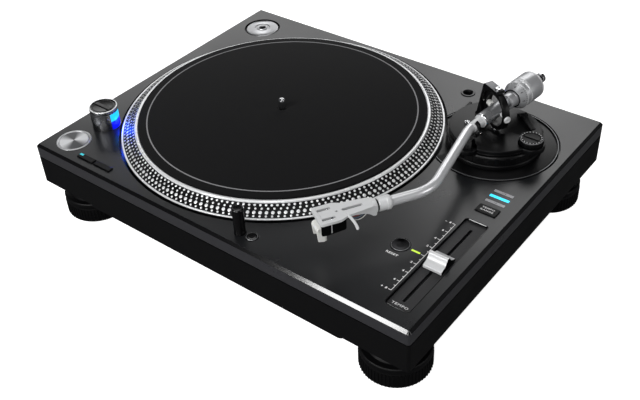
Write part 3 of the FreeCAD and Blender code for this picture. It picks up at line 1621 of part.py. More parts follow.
def arm_tube():
    """S-shaped tube: a straight leg from the sleeve and two bends, swept along tangent arcs."""
    body = new_piece("arm_tube", (pivot_x, pivot_y, s.arm_axis_z), arm_forward)
    bend_1 = s.arm_first_bend.value
    bend_2 = s.arm_second_bend.value
    way_3 = bend_1 - bend_2
    r1 = s.arm_first_bend_radius
    r2 = s.arm_second_bend_radius
    cut_1 = r1.value * math.tan(math.radians(bend_1 / 2))
    cut_2 = r2.value * math.tan(math.radians(bend_2 / 2))
    start = s.sleeve_length
    corner_1 = (s.arm_first_leg.value, 0.0)
    along = (math.cos(math.radians(bend_1)), math.sin(math.radians(bend_1)))
    leg_2 = s.arm_second_leg.value
    corner_2 = (corner_1[0] + leg_2 * along[0], leg_2 * along[1])
    last = (math.cos(math.radians(way_3)), math.sin(math.radians(way_3)))
    path = body.newObject("Sketcher::SketchObject", "ArmPath")
    path.AttachmentSupport = [(origin_plane(body, "XY_Plane"), "")]
    path.MapMode = "FlatFace"
    ends = [
        (start.value, 0.0),
        (corner_1[0] - cut_1, 0.0),
        (corner_1[0] + cut_1 * along[0], cut_1 * along[1]),
        (corner_2[0] - cut_2 * along[0], corner_2[1] - cut_2 * along[1]),
        (corner_2[0] + cut_2 * last[0], corner_2[1] + cut_2 * last[1]),
        (corner_2[0] + s.arm_third_leg.value * last[0], corner_2[1] + s.arm_third_leg.value * last[1]),
    ]

    def line(a, b):
        return path.addGeometry(Part.LineSegment(FreeCAD.Vector(*a, 0), FreeCAD.Vector(*b, 0)), False)

    first = line(ends[0], ends[1])
    turn_1 = path_arc(path, (ends[1][0], r1.value), r1.value, -90, -90 + bend_1)
    second = line(ends[2], ends[3])
    centre_2 = (ends[3][0] + r2.value * along[1], ends[3][1] - r2.value * along[0])
    turn_2 = path_arc(path, centre_2, r2.value, 90 + way_3, 90 + bend_1)
    third = line(ends[4], ends[5])
    joins = [(first, 2, turn_1, 1), (turn_1, 2, second, 1), (second, 2, turn_2, 2), (turn_2, 1, third, 1)]
    for a, a_end, b, b_end in joins:
        path.addConstraint(Sketcher.Constraint("Tangent", a, a_end, b, b_end))
    path.addConstraint(Sketcher.Constraint("PointOnObject", first, 1, -1))
    path.addConstraint(Sketcher.Constraint("Horizontal", first))

    def hold(kind, args, size):
        number = path.addConstraint(Sketcher.Constraint(kind, *args, as_size(size).value))
        bind(path, f"Constraints[{number}]", size)

    way_2 = s.arm_first_bend
    x2 = s.arm_first_leg + s.arm_second_leg * cosine(way_2)
    y2 = s.arm_second_leg * sine(way_2)
    way_last = s.arm_first_bend - s.arm_second_bend
    hold("DistanceX", (-1, 1, first, 1), start)
    hold("Radius", (turn_1,), r1)
    hold("Radius", (turn_2,), r2)
    hold("DistanceX", (-1, 1, third, 2), x2 + s.arm_third_leg * cosine(way_last))
    hold("DistanceY", (-1, 1, third, 2), y2 + s.arm_third_leg * sine(way_last))
    corner = path.addGeometry(Part.Point(FreeCAD.Vector(corner_2[0], corner_2[1], 0)), True)
    hold("DistanceX", (-1, 1, corner, 1), x2)
    hold("DistanceY", (-1, 1, corner, 1), y2)
    path.addConstraint(Sketcher.Constraint("PointOnObject", corner, 1, second))
    path.addConstraint(Sketcher.Constraint("PointOnObject", corner, 1, third))
    elbow = path.addGeometry(Part.Point(FreeCAD.Vector(corner_1[0], 0, 0)), True)
    hold("DistanceX", (-1, 1, elbow, 1), s.arm_first_leg)
    path.addConstraint(Sketcher.Constraint("PointOnObject", elbow, 1, -1))
    path.addConstraint(Sketcher.Constraint("PointOnObject", elbow, 1, second))
    section = new_sketch(body, "TubeSection", "YZ_Plane", [circle(0, 0, s.tube_radius)], start)
    sweep = body.newObject("PartDesign::AdditivePipe", "Sweep")
    sweep.Profile = section
    sweep.Spine = path
    return path


def weight_core():
    """Threaded core of the counterweight, which runs along the rear shaft."""
    body = new_piece("weight_core", (pivot_x, pivot_y, s.arm_axis_z), arm_forward)
    bore = s.rear_shaft_radius + s.running_gap
    front = 0 - s.dial_front - 0.6
    back = 0 - s.weight_front - s.weight_length + s.small_gap
    outline = [(back, bore), (back, s.weight_core_radius), (front, s.weight_core_radius), (front, bore)]
    revolve(body, "CoreProfile", [outline], axis="H_Axis")


def counterweight():
    """Heavy two-step drum that turns on its core."""
    body = new_piece("counterweight", (pivot_x, pivot_y, s.arm_axis_z), arm_forward)
    r = s.weight_radius
    bore = s.weight_core_radius + s.running_gap
    front = 0 - s.weight_front
    back = front - s.weight_length
    outline = [
        (back, bore),
        (back, r - 2.2),
        (back + 2.2, r),
        (front - 3.6, r),
        (front - 3.2, r - 0.6),
        (front - 0.6, r - 0.6),
        (front, r - 1.2),
        (front, bore),
    ]
    revolve(body, "WeightProfile", [outline], axis="H_Axis")


def force_dial():
    """Numbered ring in front of the counterweight, free to be set to zero."""
    body = new_piece("force_dial", (pivot_x, pivot_y, s.arm_axis_z), arm_forward)
    r = s.weight_radius
    bore = s.weight_core_radius + s.running_gap
    front = 0 - s.dial_front
    back = front - s.dial_length
    outline = [
        (back, bore),
        (back, r - 0.5),
        (back + 0.5, r),
        (front - 1.2, r),
        (front, r - 1.2),
        (front, bore + 1.6),
        (front - 1.0, bore),
    ]
    revolve(body, "DialProfile", [outline], axis="H_Axis")


def collar_nut():
    """Locking nut that draws the headshell's plug into the tube."""
    body = new_piece("collar_nut", (head_x, head_y, s.arm_axis_z), head_way)
    start = s.collar_start
    end = start + s.collar_length
    r = s.collar_radius
    bore = s.tube_radius + s.running_gap
    outline = [
        (start, bore),
        (start, r - 1.6),
        (start + 1.2, r - 0.6),
        (start + 3.2, r - 0.6),
        (start + 3.6, r),
        (end - 1.0, r),
        (end, r - 1.0),
        (end, bore),
    ]
    revolve(body, "CollarProfile", [outline], axis="H_Axis")


def headshell():
    """Die-cast headshell: slotted plate, side skirts that deepen to the plug, and a finger lift."""
    body = doc.addObject("PartDesign::Body", "HeadshellCasting")
    place(body, (head_x, head_y, s.arm_axis_z), head_way)
    start = s.headshell_start
    end = start + s.headshell_length
    top = s.headshell_rise
    under = top - s.headshell_plate
    half = s.headshell_width / 2
    neck = s.headshell_neck_width / 2
    corner = s.shell_corner
    flare = end - s.shell_flare_back
    wide = end - s.shell_head_length
    outline = [
        (start + 0.6, neck * -0.55),
        (start + 6, 0 - neck),
        (flare, s.shell_flare_side - half),
        (wide, 0 - half),
        (end - corner, 0 - half),
        (end, corner - half),
        (end, half - corner),
        (end - corner, half),
        (wide, half),
        (flare, half - s.shell_flare_side),
        (start + 6, neck),
        (start + 0.6, neck * 0.55),
    ]
    pad(body, "ShellPlate", [outline], under, s.headshell_plate)
    plug = s.tube_radius - 0.2
    rounded = [
        (start - s.plug_length, 0),
        (start - s.plug_length, plug - s.tube_wall),
        (start - 1.6, plug - s.tube_wall),
        (start - 1.6, s.collar_radius - 1.2),
        (start, s.collar_radius - 1.2),
        (start, s.collar_radius - 0.4),
        (start + 2.6, s.collar_radius - 0.4),
        (start + 3.6, plug),
        (start + 9, plug - 1),
        (start + 9, 0),
    ]
    revolve(body, "Plug", [rounded], axis="H_Axis")
    fin = [
        (start + 1.0, top - 0.4),
        (start + 1.0, -8.6),
        (start + 3.6, -9.6),
        (start + 9.5, -4.4),
        (start + 24, -3.4),
        (end - 26, under - 2.4),
        (end - 26, top - 0.4),
    ]
    for name, side in (("SkirtNear", -1), ("SkirtFar", 1)):
        middle = (neck - 1.3) * side
        pad(body, name, [fin], middle - s.shell_skirt / 2, s.shell_skirt, plane="XZ_Plane")
    slots = []
    for side in (-1, 1):
        x = end - s.screw_slot_back
        slots.append(rectangle(x, side * s.mount_screw_offset, s.screw_slot_length, s.screw_slot_width))
    middle = start + s.shell_slot_start + s.shell_slot_length / 2
    slots.append(rectangle(middle, 0, s.shell_slot_length, s.shell_slot_width))
    slots.append(circle(end - s.shell_hole_back, 0, s.shell_hole_radius))
    pocket(body, "ScrewSlots", slots, top + 0.1, s.headshell_plate + 0.2)
    lip = [(end - 3.2, top + 0.1), (end + 0.1, top + 0.1), (end + 0.1, top - 1.2)]
    pocket(body, "FrontSlope", [lip], half + 1, s.headshell_width + 2, plane="XZ_Plane")
    bend = s.finger_bend_radius
    first = neck - 1.5 - bend * sine(s.finger_start_angle)
    along = end - s.finger_back - bend * cosine(s.finger_start_angle)
    x, y = on_head(along, first)
    rod_z = s.arm_axis_z + under - 0.2
    way = head_way + s.finger_start_angle - s.finger_sweep
    at = (x, y, rod_z)
    rod = solid("Torus", "FingerLift", at, way, Radius1=bend, Radius2=s.finger_radius, Angle3=s.finger_sweep)
    last = s.finger_start_angle - s.finger_sweep
    tip_x, tip_y = on_head(along + bend * cosine(last), first + bend * sine(last))
    tip = solid("Sphere", "FingerTip", (tip_x, tip_y, rod_z), Radius=s.finger_radius)
    shell = fuse("headshell", [body, rod, tip])
    pieces.append(shell)


def cartridge():
    """Pickup cartridge under the headshell with its mounting flanges and pins."""
    body = new_piece("cartridge", (head_x, head_y, s.arm_axis_z), head_way)
    end = s.headshell_start + s.headshell_length - s.cartridge_back
    start = end - s.cartridge_length
    under = s.headshell_rise - s.headshell_plate
    low = under - s.cartridge_height
    half = s.cartridge_width / 2
    side = [
        (start, under),
        (start, low + 7),
        (start + 2, low + 3),
        (start + 8, low),
        (end - 7, low),
        (end - 2, low + 3),
        (end, low + 6),
        (end, under),
    ]
    pad(body, "CartridgeBody", [side], 0 - half + 1.6, s.cartridge_width - 3.2, plane="XZ_Plane")
    flange = rectangle((start + end) / 2 + 2, 0, s.cartridge_length - 9, s.cartridge_width)
    pad(body, "Flanges", [flange], under - 3.2, 3.2)
    for number in range(4):
        y = -3.9 + 2.6 * number
        pin = [
            (start - 4, under - 6.0),
            (start - 4, under - 5.2),
            (start + 1, under - 5.2),
            (start + 1, under - 6.0),
        ]
        pad(body, f"Pin{number}", [pin], y - 0.4, 0.8, plane="XZ_Plane")


def stylus():
    """White stylus holder with its cantilever and swing-down guard at the front."""
    body = new_piece("stylus", (head_x, head_y, s.arm_axis_z), head_way)
    reach = s.stylus_reach
    under = s.headshell_rise - s.headshell_plate
    low = under - s.cartridge_height
    tip = s.stylus_tip_z - s.arm_axis_z
    end = s.headshell_start + s.headshell_length - s.cartridge_back
    grip = [
        (end + 0.02, low + 9),
        (end + 1.6, low + 9),
        (end + 2.6, low + 2),
        (end + 1.0, tip + 0.6),
        (end - 3.4, tip + 0.6),
        (end - 4.4, tip + 2.0),
        (end - 4.4, low - 0.02),
        (end - 0.9, low - 0.02),
        (end + 0.02, low + 3),
    ]
    pad(body, "Grip", [grip], -6.6, 1.6, plane="XZ_Plane")
    pad(body, "GripFar", [grip], 5.0, 1.6, plane="XZ_Plane")
    bridge = [
        (end + 0.02, low + 8.8),
        (end + 1.6, low + 8.8),
        (end + 2.2, low + 5),
        (end + 0.6, low + 5),
        (end + 0.02, low + 6),
    ]
    pad(body, "GripFront", [bridge], -6.6, 13.2, plane="XZ_Plane")
    bar = [(end - 4.4, low - 0.02), (end - 4.4, tip + 1.6), (end - 2.8, tip + 1.6), (end - 2.8, low - 0.02)]
    pad(body, "GripBar", [bar], -6.6, 13.2, plane="XZ_Plane")
    needle = [
        (reach - 8, low - 0.02),
        (reach - 7, low - 0.02),
        (reach + 0.5, tip + 1.4),
        (reach + 0.3, tip),
        (reach - 0.3, tip + 0.9),
        (reach - 8, low - 1.0),
    ]
    pad(body, "Cantilever", [needle], -0.4, 0.8, plane="XZ_Plane")


def anti_skate_knob():
    """Anti-skate dial with a chamfered, dotted rim."""
    x, y = on_pivot(s.skate_angle, s.skate_distance)
    body = new_piece("anti_skate_knob", (x, y, s.arm_base_top_z + s.small_gap))
    r = s.skate_radius
    h = s.skate_height
    outline = [
        (0, 0),
        (r - 0.8, 0),
        (r, 0.8),
        (r, h - 1.2),
        (r - 1.2, h),
        (r - 3.2, h),
        (r - 3.6, h - 0.6),
        (0, h - 0.6),
    ]
    revolve(body, "SkateProfile", [outline])
    pad(body, "SkateGrip", [rectangle(0, 0, (r - 4) * 2, 3.0)], h - 0.7, 1.2)


def cue_lever():
    """Flat cueing lever, lying down with the lifter lowered, on a hub between two ears."""
    at = (pivot_x + s.cue_x, pivot_y + s.cue_y, cue_axis_z)
    body = new_piece("cue_lever", at, s.cue_lever_angle)
    half = s.cue_lever_width / 2
    r = s.cue_hub_radius
    length = s.cue_lever_length
    pad(body, "CueHub", [circle(0, 0, r)], 0 - half, half * 2, plane="XZ_Plane")
    blade = [
        (0, 0.6 - r),
        (length - 4, 0.2 - r / 2),
        (length, 0.8),
        (length - 0.4, 2.0),
        (length - 5, 1.6),
        (0, r),
    ]
    pad(body, "CueBlade", [blade], 0.4 - half, s.cue_lever_width - 0.8, plane="XZ_Plane")


def arm_lifter():
    """Curved rail that lifts the tonearm, on a post that slides in the base."""
    z = s.arm_axis_z - s.sleeve_radius - s.lifter_gap - s.lifter_stroke - s.lifter_wire_radius
    post_x, post_y = lifter_post()
    bottom = s.height_ring_top_z + s.small_gap * 3 + 1
    ball = s.lifter_post_radius + 0.4
    post = solid(
        "Cylinder",
        "LifterPost",
        (pivot_x + post_x, pivot_y + post_y, bottom),
        Radius=s.lifter_post_radius,
        Height=z - bottom,
    )
    ball_z = z + s.lifter_wire_radius - ball - 0.3
    end = solid("Sphere", "LifterBall", (pivot_x + post_x, pivot_y + post_y, ball_z), Radius=ball)
    rail = solid(
        "Torus",
        "LifterRail",
        (pivot_x, pivot_y, z),
        lifter_end_way,
        Radius1=s.lifter_radius,
        Radius2=s.lifter_wire_radius,
        Angle3=s.lifter_span + 8,
    )
    lifter = fuse("arm_lifter", [post, end, rail])
    pieces.append(lifter)


def rest_post():
    """Post with a low cradle under the tube and a hinge eye for the clip on its outer side."""
    x, y = rest_point()
    body = new_piece("rest_post", (pivot_x + x, pivot_y + y, s.arm_axis_z), rest_way)
    base = s.arm_base_top_z - s.arm_axis_z
    seat = s.tube_radius + s.rest_gap
    outline = [
        (-4.2, base),
        (5.4, base),
        (5.4, -8.2),
        (s.clip_hinge_out - 2.0, 0 - s.clip_hinge_drop - 2.6),
        (s.clip_hinge_out - 2.0, 0 - s.clip_hinge_drop),
        (0 - seat - 1.6, 0 - s.clip_hinge_drop - 4.2),
        (0 - seat - 2.0, 0 - s.clip_hinge_drop - 5.4),
        (-4.2, -10.6),
    ]
    half = s.rest_width / 2
    pad(body, "Cradle", [outline], 0 - half, s.rest_width, plane="YZ_Plane")
    pocket(body, "Seat", [circle(0, 0, seat)], half + 1, s.rest_width + 2, plane="YZ_Plane")
    clear = circle(s.clip_hinge_out, 0 - s.clip_hinge_drop, s.clip_eye_radius + s.small_gap)
    pocket(body, "EyeClearance", [clear], half + 1, s.rest_width + 2, plane="YZ_Plane")
    pin = circle(s.clip_hinge_out, 0 - s.clip_hinge_drop, s.clip_pin_radius)
    pad(body, "HingePin", [pin], 0 - half, s.rest_width, plane="YZ_Plane")
    cheek = [
        (4.4, -8.0),
        (s.clip_hinge_out + 1.6, 0 - s.clip_hinge_drop - 1.2),
        (s.clip_hinge_out + 0.6, 0 - s.clip_hinge_drop + 1.6),
        (s.clip_hinge_out - 1.6, 0 - s.clip_hinge_drop + 1.4),
        (s.clip_hinge_out - 3.4, 0 - s.clip_hinge_drop - 2.0),
        (3.0, -8.0),
    ]
    pad(body, "CheekFront", [cheek], half - s.clip_cheek, s.clip_cheek, plane="YZ_Plane")
    pad(body, "CheekBack", [cheek], 0 - half, s.clip_cheek, plane="YZ_Plane")


def rest_clip():
    """Curved clip that closes over the tube, shown swung open on its pin beside the cradle."""
    x, y = rest_point()
    body = new_piece("rest_clip", (pivot_x + x, pivot_y + y, s.arm_axis_z), rest_way)
    inner = s.tube_radius + s.rest_gap
    outer = inner + s.clip_wall
    width = s.rest_width - s.clip_cheek * 2 - s.small_gap * 2
    hinge_x = s.clip_hinge_out
    hinge_y = 0 - s.clip_hinge_drop
    swung_x, swung_y = spun(0 - hinge_x, 0 - hinge_y, 0 - s.clip_open_angle)
    centre_x = hinge_x + swung_x
    centre_y = hinge_y + swung_y
    ring = [circle(centre_x, centre_y, outer), circle(centre_x, centre_y, inner)]
    pad(body, "ClipRing", ring, 0 - width / 2, width, plane="YZ_Plane")
    far = outer * 2.4
    tip = s.clip_tip_angle - s.clip_open_angle
    low = 0 - s.clip_open_angle - 14
    wedge = [(centre_x, centre_y)]
    for share in (0, 0.34, 0.67, 1):
        way = tip + (low + 360 - tip) * share
        wedge.append((centre_x + far * cosine(way), centre_y + far * sine(way)))
    pocket(body, "ClipMouth", [wedge], width, width * 2, plane="YZ_Plane")
    eye = circle(hinge_x, hinge_y, s.clip_eye_radius)
    pad(body, "ClipEye", [eye], 0 - width / 2, width, plane="YZ_Plane")
    bore = circle(hinge_x, hinge_y, s.clip_pin_radius + s.running_gap)
    pocket(body, "ClipBore", [bore], width, width * 2, plane="YZ_Plane")


def build():
    deck_panel()
    chassis()
    bottom_cover()
    for corner in foot_places:
        foot(corner)
    foot_studs()
    platter()
    platter_damper()
    rotor_magnet()
    spindle()
    slipmat()
    spindle_bearing()
    motor_stator()
    adapter()
    start_stop_bezel()
    start_stop_button()
    speed_buttons()
    strobe_pillar()
    power_knob()
    stylus_light()
    button = (s.light_button_radius, s.light_button_proud)
    round_button("stylus_light_button", light_button_x, light_button_y, *button)
    round_button("reset_button", reset_x, reset_y, s.reset_radius, s.reset_proud, 0.8)
    box_button("range_button", range_x, range_y, s.range_width, s.range_depth, s.range_proud)
    tempo_panel()
    tempo_potentiometer()
    fader_cap()
    indicator_windows()
    switch_boards()
    power_supply()
    headshell_holder()
    back_sockets()
    arm_plate()
    height_ring()
    height_lock()
    arm_base()
    yoke()
    yoke_pivots()
    gimbal_ring()
    gimbal_pivots()
    arm_sleeve()
    arm_tube()
    weight_core()
    counterweight()
    force_dial()
    collar_nut()
    headshell()
    cartridge()
    stylus()
    anti_skate_knob()
    cue_lever()
    arm_lifter()
    rest_post()
    rest_clip()


build()
doc.recompute()
failed = [thing.Name for thing in doc.Objects if "Invalid" in thing.State or "Error" in thing.State]
if failed:
    raise RuntimeError("objects that failed: " + ", ".join(failed))
for feature in cuts:
    if feature.Shape.Volume > feature.BaseFeature.Shape.Volume - 0.01:
        raise RuntimeError(feature.Name + " takes nothing away")
for piece in pieces:
    if piece.Shape.isNull() or not piece.Shape.isValid():
        raise RuntimeError(piece.Label + " has no valid shape")
os.makedirs("parts", exist_ok=True)
for piece in pieces:
    piece.Shape.exportStep(f"parts/{piece.Label}.step")
print(len(pieces), "parts written")
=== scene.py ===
# %% [markdown]
# # A DJ turntable, dressed on its CAD frame
#
# The CAD model has already settled every size, joint and hole. This script only gives it its looks: it
# loads that model as a fixed frame, models the visible pieces again with finer curves and rounder edges,
# paints every surface, and sets up the studio. A turntable is mostly round, so most pieces start as an
# outline that is spun about an axis, the way the real ones come off a lathe.

# %% Load the frame
import math

import bpy
from mathutils import Matrix, Vector


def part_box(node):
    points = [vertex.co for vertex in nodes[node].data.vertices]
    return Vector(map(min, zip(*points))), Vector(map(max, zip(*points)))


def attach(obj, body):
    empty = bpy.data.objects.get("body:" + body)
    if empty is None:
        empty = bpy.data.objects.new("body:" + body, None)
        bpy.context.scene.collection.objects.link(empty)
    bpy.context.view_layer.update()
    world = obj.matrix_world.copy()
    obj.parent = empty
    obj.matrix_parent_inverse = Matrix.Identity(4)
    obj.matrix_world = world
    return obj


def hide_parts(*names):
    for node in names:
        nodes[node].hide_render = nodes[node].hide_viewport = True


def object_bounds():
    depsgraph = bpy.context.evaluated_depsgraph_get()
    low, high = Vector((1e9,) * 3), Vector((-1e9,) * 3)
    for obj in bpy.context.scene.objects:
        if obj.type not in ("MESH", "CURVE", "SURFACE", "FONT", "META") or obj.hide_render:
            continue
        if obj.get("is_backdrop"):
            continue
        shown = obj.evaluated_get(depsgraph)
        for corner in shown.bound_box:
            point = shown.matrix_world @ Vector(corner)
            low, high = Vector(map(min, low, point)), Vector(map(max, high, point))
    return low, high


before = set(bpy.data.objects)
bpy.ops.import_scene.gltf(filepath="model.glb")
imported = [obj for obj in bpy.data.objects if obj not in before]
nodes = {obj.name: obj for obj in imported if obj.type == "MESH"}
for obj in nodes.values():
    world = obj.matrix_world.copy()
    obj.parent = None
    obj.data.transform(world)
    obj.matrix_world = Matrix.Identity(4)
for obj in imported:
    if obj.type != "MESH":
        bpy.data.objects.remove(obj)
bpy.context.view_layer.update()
MM = 0.001

# %% [markdown]
# ## The camera
#
# The photograph looks down on the front right corner from a little above the plinth. The position,
# direction and roll come from matching the corners of the plinth and the platter's circle by least squares,
# so a piece that stands where the CAD says also lands on its own pixels.

# %% Camera
AZIMUTH, ELEVATION, ROLL = (math.radians(a) for a in (39.649, 38.551, -3.206))
FOCAL_PIXELS, PICTURE_WIDTH, SENSOR_WIDTH = 920.607, 640, 36.0
CAMERA_PLACE = (0.489065, -0.592176, 0.60943)
level = math.cos(ELEVATION)
look = Vector((-math.sin(AZIMUTH) * level, math.cos(AZIMUTH) * level, -math.sin(ELEVATION)))
right = Vector((math.cos(AZIMUTH), math.sin(AZIMUTH), 0))
up = right.cross(look)
right, up = math.cos(ROLL) * right + math.sin(ROLL) * up, -math.sin(ROLL) * right + math.cos(ROLL) * up
bpy.ops.object.camera_add(location=CAMERA_PLACE)
camera = bpy.context.object
camera.rotation_euler = Matrix((right, up, -look)).transposed().to_euler()
camera.data.sensor_width = SENSOR_WIDTH
camera.data.lens = FOCAL_PIXELS / PICTURE_WIDTH * SENSOR_WIDTH
bpy.context.scene.camera = camera
print(f"lens {camera.data.lens:.2f} mm")

# %% [markdown]
# ## Colours and nodes
#
# Colours are written as the hex values that a picture editor shows. Blender's shaders work in linear
# light, so one function turns the one into the other. Small functions add a node and link it, mix two
# colours, roughen a surface and let its gloss change slowly. The last one makes a whole finish.


# %% Helpers for materials
def hex_colour(text):
    """A colour written as sRGB hex, in the linear values that shaders use."""
    parts = [int(text[i : i + 2], 16) / 255 for i in (1, 3, 5)]
    return [c / 12.92 if c <= 0.04045 else ((c + 0.055) / 1.055) ** 2.4 for c in parts] + [1.0]


def add(tree, kind, inputs=None, **settings):
    """Adds a node to a tree, sets its properties, and sets or links its inputs by name or number."""
    node = tree.nodes.new("ShaderNode" + kind)
    for name, value in settings.items():
        setattr(node, name, value)
    for name, value in (inputs or {}).items():
        if isinstance(value, bpy.types.NodeSocket):
            tree.links.new(value, node.inputs[name])
        else:
            node.inputs[name].default_value = value
    return node


def calculated(tree, operation, *values):
    """One step of arithmetic on sockets or numbers."""
    return add(tree, "Math", dict(enumerate(values)), operation=operation).outputs[0]


def mixed(tree, share, first, second):
    """A blend of two colours, each a hex text or a socket."""
    first, second = (hex_colour(c) if isinstance(c, str) else c for c in (first, second))
    return add(tree, "Mix", {0: share, 6: first, 7: second}, data_type="RGBA").outputs[2]


def new_material(name, **inputs):
    """A Principled material named for its finish. Inputs are its sockets, with underscores for spaces."""
    made = bpy.data.materials.new(name)
    made.use_nodes = True
    tree = made.node_tree
    shader = tree.nodes["Principled BSDF"]
    for key, value in inputs.items():
        socket = shader.inputs[key.replace("_", " ")]
        socket.default_value = hex_colour(value) if isinstance(value, str) else value
    return made, tree, shader


def own_place(tree):
    """Position on the piece in metres, in the row's frame."""
    return add(tree, "TexCoord").outputs["Object"]


def grain(tree, shader, size_mm, depth_mm, detail=2.0):
    """Fine bumps of a real size in mm, such as the orange peel of paint or the spark of a mould."""
    noise = add(tree, "TexNoise", {"Vector": own_place(tree), "Scale": 1000 / size_mm, "Detail": detail})
    bump = add(tree, "Bump", {"Height": noise.outputs["Fac"], "Distance": depth_mm * MM})
    tree.links.new(bump.outputs[0], shader.inputs["Normal"])
    return noise


def finish(name, colour, roughness, bumps=None, wear=None, **inputs):
    """A finish with bumps of (size, depth) in mm, and wear as (least, most roughness, size in mm)."""
    made, tree, shader = new_material(name, Base_Color=colour, Roughness=roughness, **inputs)
    if bumps:
        grain(tree, shader, *bumps)
    if wear:
        low, high, size_mm = wear
        noise = add(tree, "TexNoise", {"Vector": own_place(tree), "Scale": 1000 / size_mm, "Detail": 3.0})
        spread = add(tree, "MapRange", {0: noise.outputs["Fac"], 1: 0.3, 2: 0.7, 3: low, 4: high})
        tree.links.new(spread.outputs[0], shader.inputs["Roughness"])
    return made


def spun_metal(name, colour, roughness, anisotropy):
    """Metal faced on a lathe, whose shine runs out from the middle."""
    made, tree, shader = new_material(
        name, Base_Color=colour, Roughness=roughness, Metallic=1.0, Anisotropic=anisotropy
    )
    tangent = add(tree, "Tangent", direction_type="RADIAL", axis="Z")
    tree.links.new(tangent.outputs[0], shader.inputs["Tangent"])
    return made


# %% [markdown]
# ## The finishes
#
# Each finish is named for the real material and the way its surface was made. The plinth's top is a casting
# under a satin enamel with a very fine orange peel; the deep lower body is rubbery resin with a moulded
# grain. The metals are plated, painted or anodised parts of the arm, and aluminium that is polished on the
# beads of the platter and spun on the adapter. The satin ones keep some plain colour under their shine, as
# a blasted or painted surface does. Colours were set to match the photograph, piece by piece.

# %% Enamels, resins and rubber
deck_enamel = finish("satin_enamel", "#17181a", 0.33, (0.9, 0.012), (0.27, 0.32, 60), IOR=1.5)
edge_lacquer = finish("black_lacquer", "#050506", 0.4, (2.5, 0.004), IOR=1.5, Specular_IOR_Level=0.2)
body_resin = finish(
    "moulded_resin", "#0b0b0c", 0.52, (0.5, 0.02), (0.48, 0.58, 45), IOR=1.46, Specular_IOR_Level=0.18
)
foot_rubber = finish("moulded_rubber", "#050506", 0.5, (0.35, 0.02), IOR=1.5, Specular_IOR_Level=0.2)
key_resin = finish("matt_key_resin", "#060607", 0.4, (0.3, 0.008), IOR=1.47, Specular_IOR_Level=0.2)
panel_black = finish("matt_panel_resin", "#1b1b1d", 0.5, (0.4, 0.01), IOR=1.47)
gloss_black = finish("gloss_black_moulding", "#070708", 0.2, (1.2, 0.003), IOR=1.5, Specular_IOR_Level=0.35)
guard_plastic = finish("white_moulding", "#e6e6e2", 0.35, (0.4, 0.004), IOR=1.49)
unlit_window = finish("unlit_window", "#a6a6aa", 0.4, (0.5, 0.004))
white_print = finish("white_print", "#f0f0f0", 0.5, (0.3, 0.004))
grey_print = finish("grey_print", "#858587", 0.7, (0.4, 0.01))

# %% Metals
arm_black = finish("black_anodised", "#080809", 0.36, (0.4, 0.006), IOR=1.5, Specular_IOR_Level=0.25)
sleeve_satin = finish("satin_nickel", "#9c9d9f", 0.3, wear=(0.26, 0.34, 12), Metallic=0.6)
weight_satin = finish("satin_plated_weight", "#c6c7c9", 0.34, wear=(0.29, 0.37, 9), Metallic=0.55)
yoke_top_satin = finish("satin_grey_face", "#77787a", 0.4, (0.4, 0.006), Metallic=0.6)
under_steel = finish("zinc_plated_steel", "#8d8f92", 0.42, wear=(0.36, 0.5, 20), Metallic=1.0)
turned_aluminium = finish("turned_aluminium", "#c2c3c5", 0.32, wear=(0.28, 0.36, 6), Metallic=1.0)
polished_aluminium = finish("polished_aluminium", "#f2f3f4", 0.26, wear=(0.22, 0.3, 15), Metallic=0.3)
spun_aluminium = spun_metal("spun_aluminium", "#b4b5b7", 0.3, 0.85)
spun_black = spun_metal("black_spun_aluminium", "#1c1c1e", 0.28, 0.8)
silver_paint = finish("silver_paint", "#d2d3d4", 0.34, (0.25, 0.003), Metallic=0.1)
tube_silver = finish("satin_silver_tube", "#dfe0e2", 0.24, (0.3, 0.002), Metallic=0.45)
bright_chrome = finish("bright_chrome", "#dcdddf", 0.06, wear=(0.04, 0.09, 10), Metallic=1.0)
dark_chrome = finish("dark_chrome", "#9a9b9e", 0.26, wear=(0.23, 0.3, 10), Metallic=1.0)

# %% Felt
felt_wool, tree, shader = new_material(
    "pressed_felt",
    Base_Color="#161617",
    Roughness=0.95,
    Specular_IOR_Level=0.1,
    Sheen_Weight=0.04,
    Sheen_Roughness=0.5,
)
wool = grain(tree, shader, 0.9, 0.12, 4.0)
tree.links.new(mixed(tree, wool.outputs["Fac"], "#0c0c0d", "#171718"), shader.inputs["Base Color"])


# %% Lit windows
def lit(name, colour, glow, strength):
    """A window of coloured plastic with a lamp behind it."""
    return new_material(
        name, Base_Color=colour, Roughness=0.3, Emission_Color=glow, Emission_Strength=strength
    )[0]


cyan_light = lit("lit_cyan_window", "#18b9e6", "#22d8ff", 1.0)
green_light = lit("lit_green_window", "#7d9a22", "#c8e84a", 0.9)
teal_light = lit("lit_teal_lens", "#1d8f99", "#2fb6c0", 0.8)
CYAN_ABOVE = (0.0936, 0.0942)
strobe_light, tree, shader = new_material(
    "lit_strobe_window", Base_Color="#0618a0", Roughness=0.25, Emission_Strength=0.95
)
rise = add(tree, "SeparateXYZ", {0: own_place(tree)}).outputs["Z"]
upper_half = add(tree, "MapRange", {0: rise, 1: CYAN_ABOVE[0], 2: CYAN_ABOVE[1], 3: 0.0, 4: 1.0})
tree.links.new(mixed(tree, upper_half.outputs[0], "#0a10d0", "#20e0ff"), shader.inputs["Emission Color"])
print(f"{len(bpy.data.materials)} materials so far")

# %% [markdown]
# ## Helpers for modelling
#
# Blender's operators act on whatever is selected, and the loaded nodes come in selected, so the first
# helper clears that. Round pieces are drawn as half a section: one point is extruded on, corner by
# corner, its corners are bevelled, and the section is spun about the axis. Flat pieces are a filled
# circle whose corners are drawn out to the outline and extruded. A bevel modifier then takes the
# sharpness off every edge, because real castings and mouldings have none.


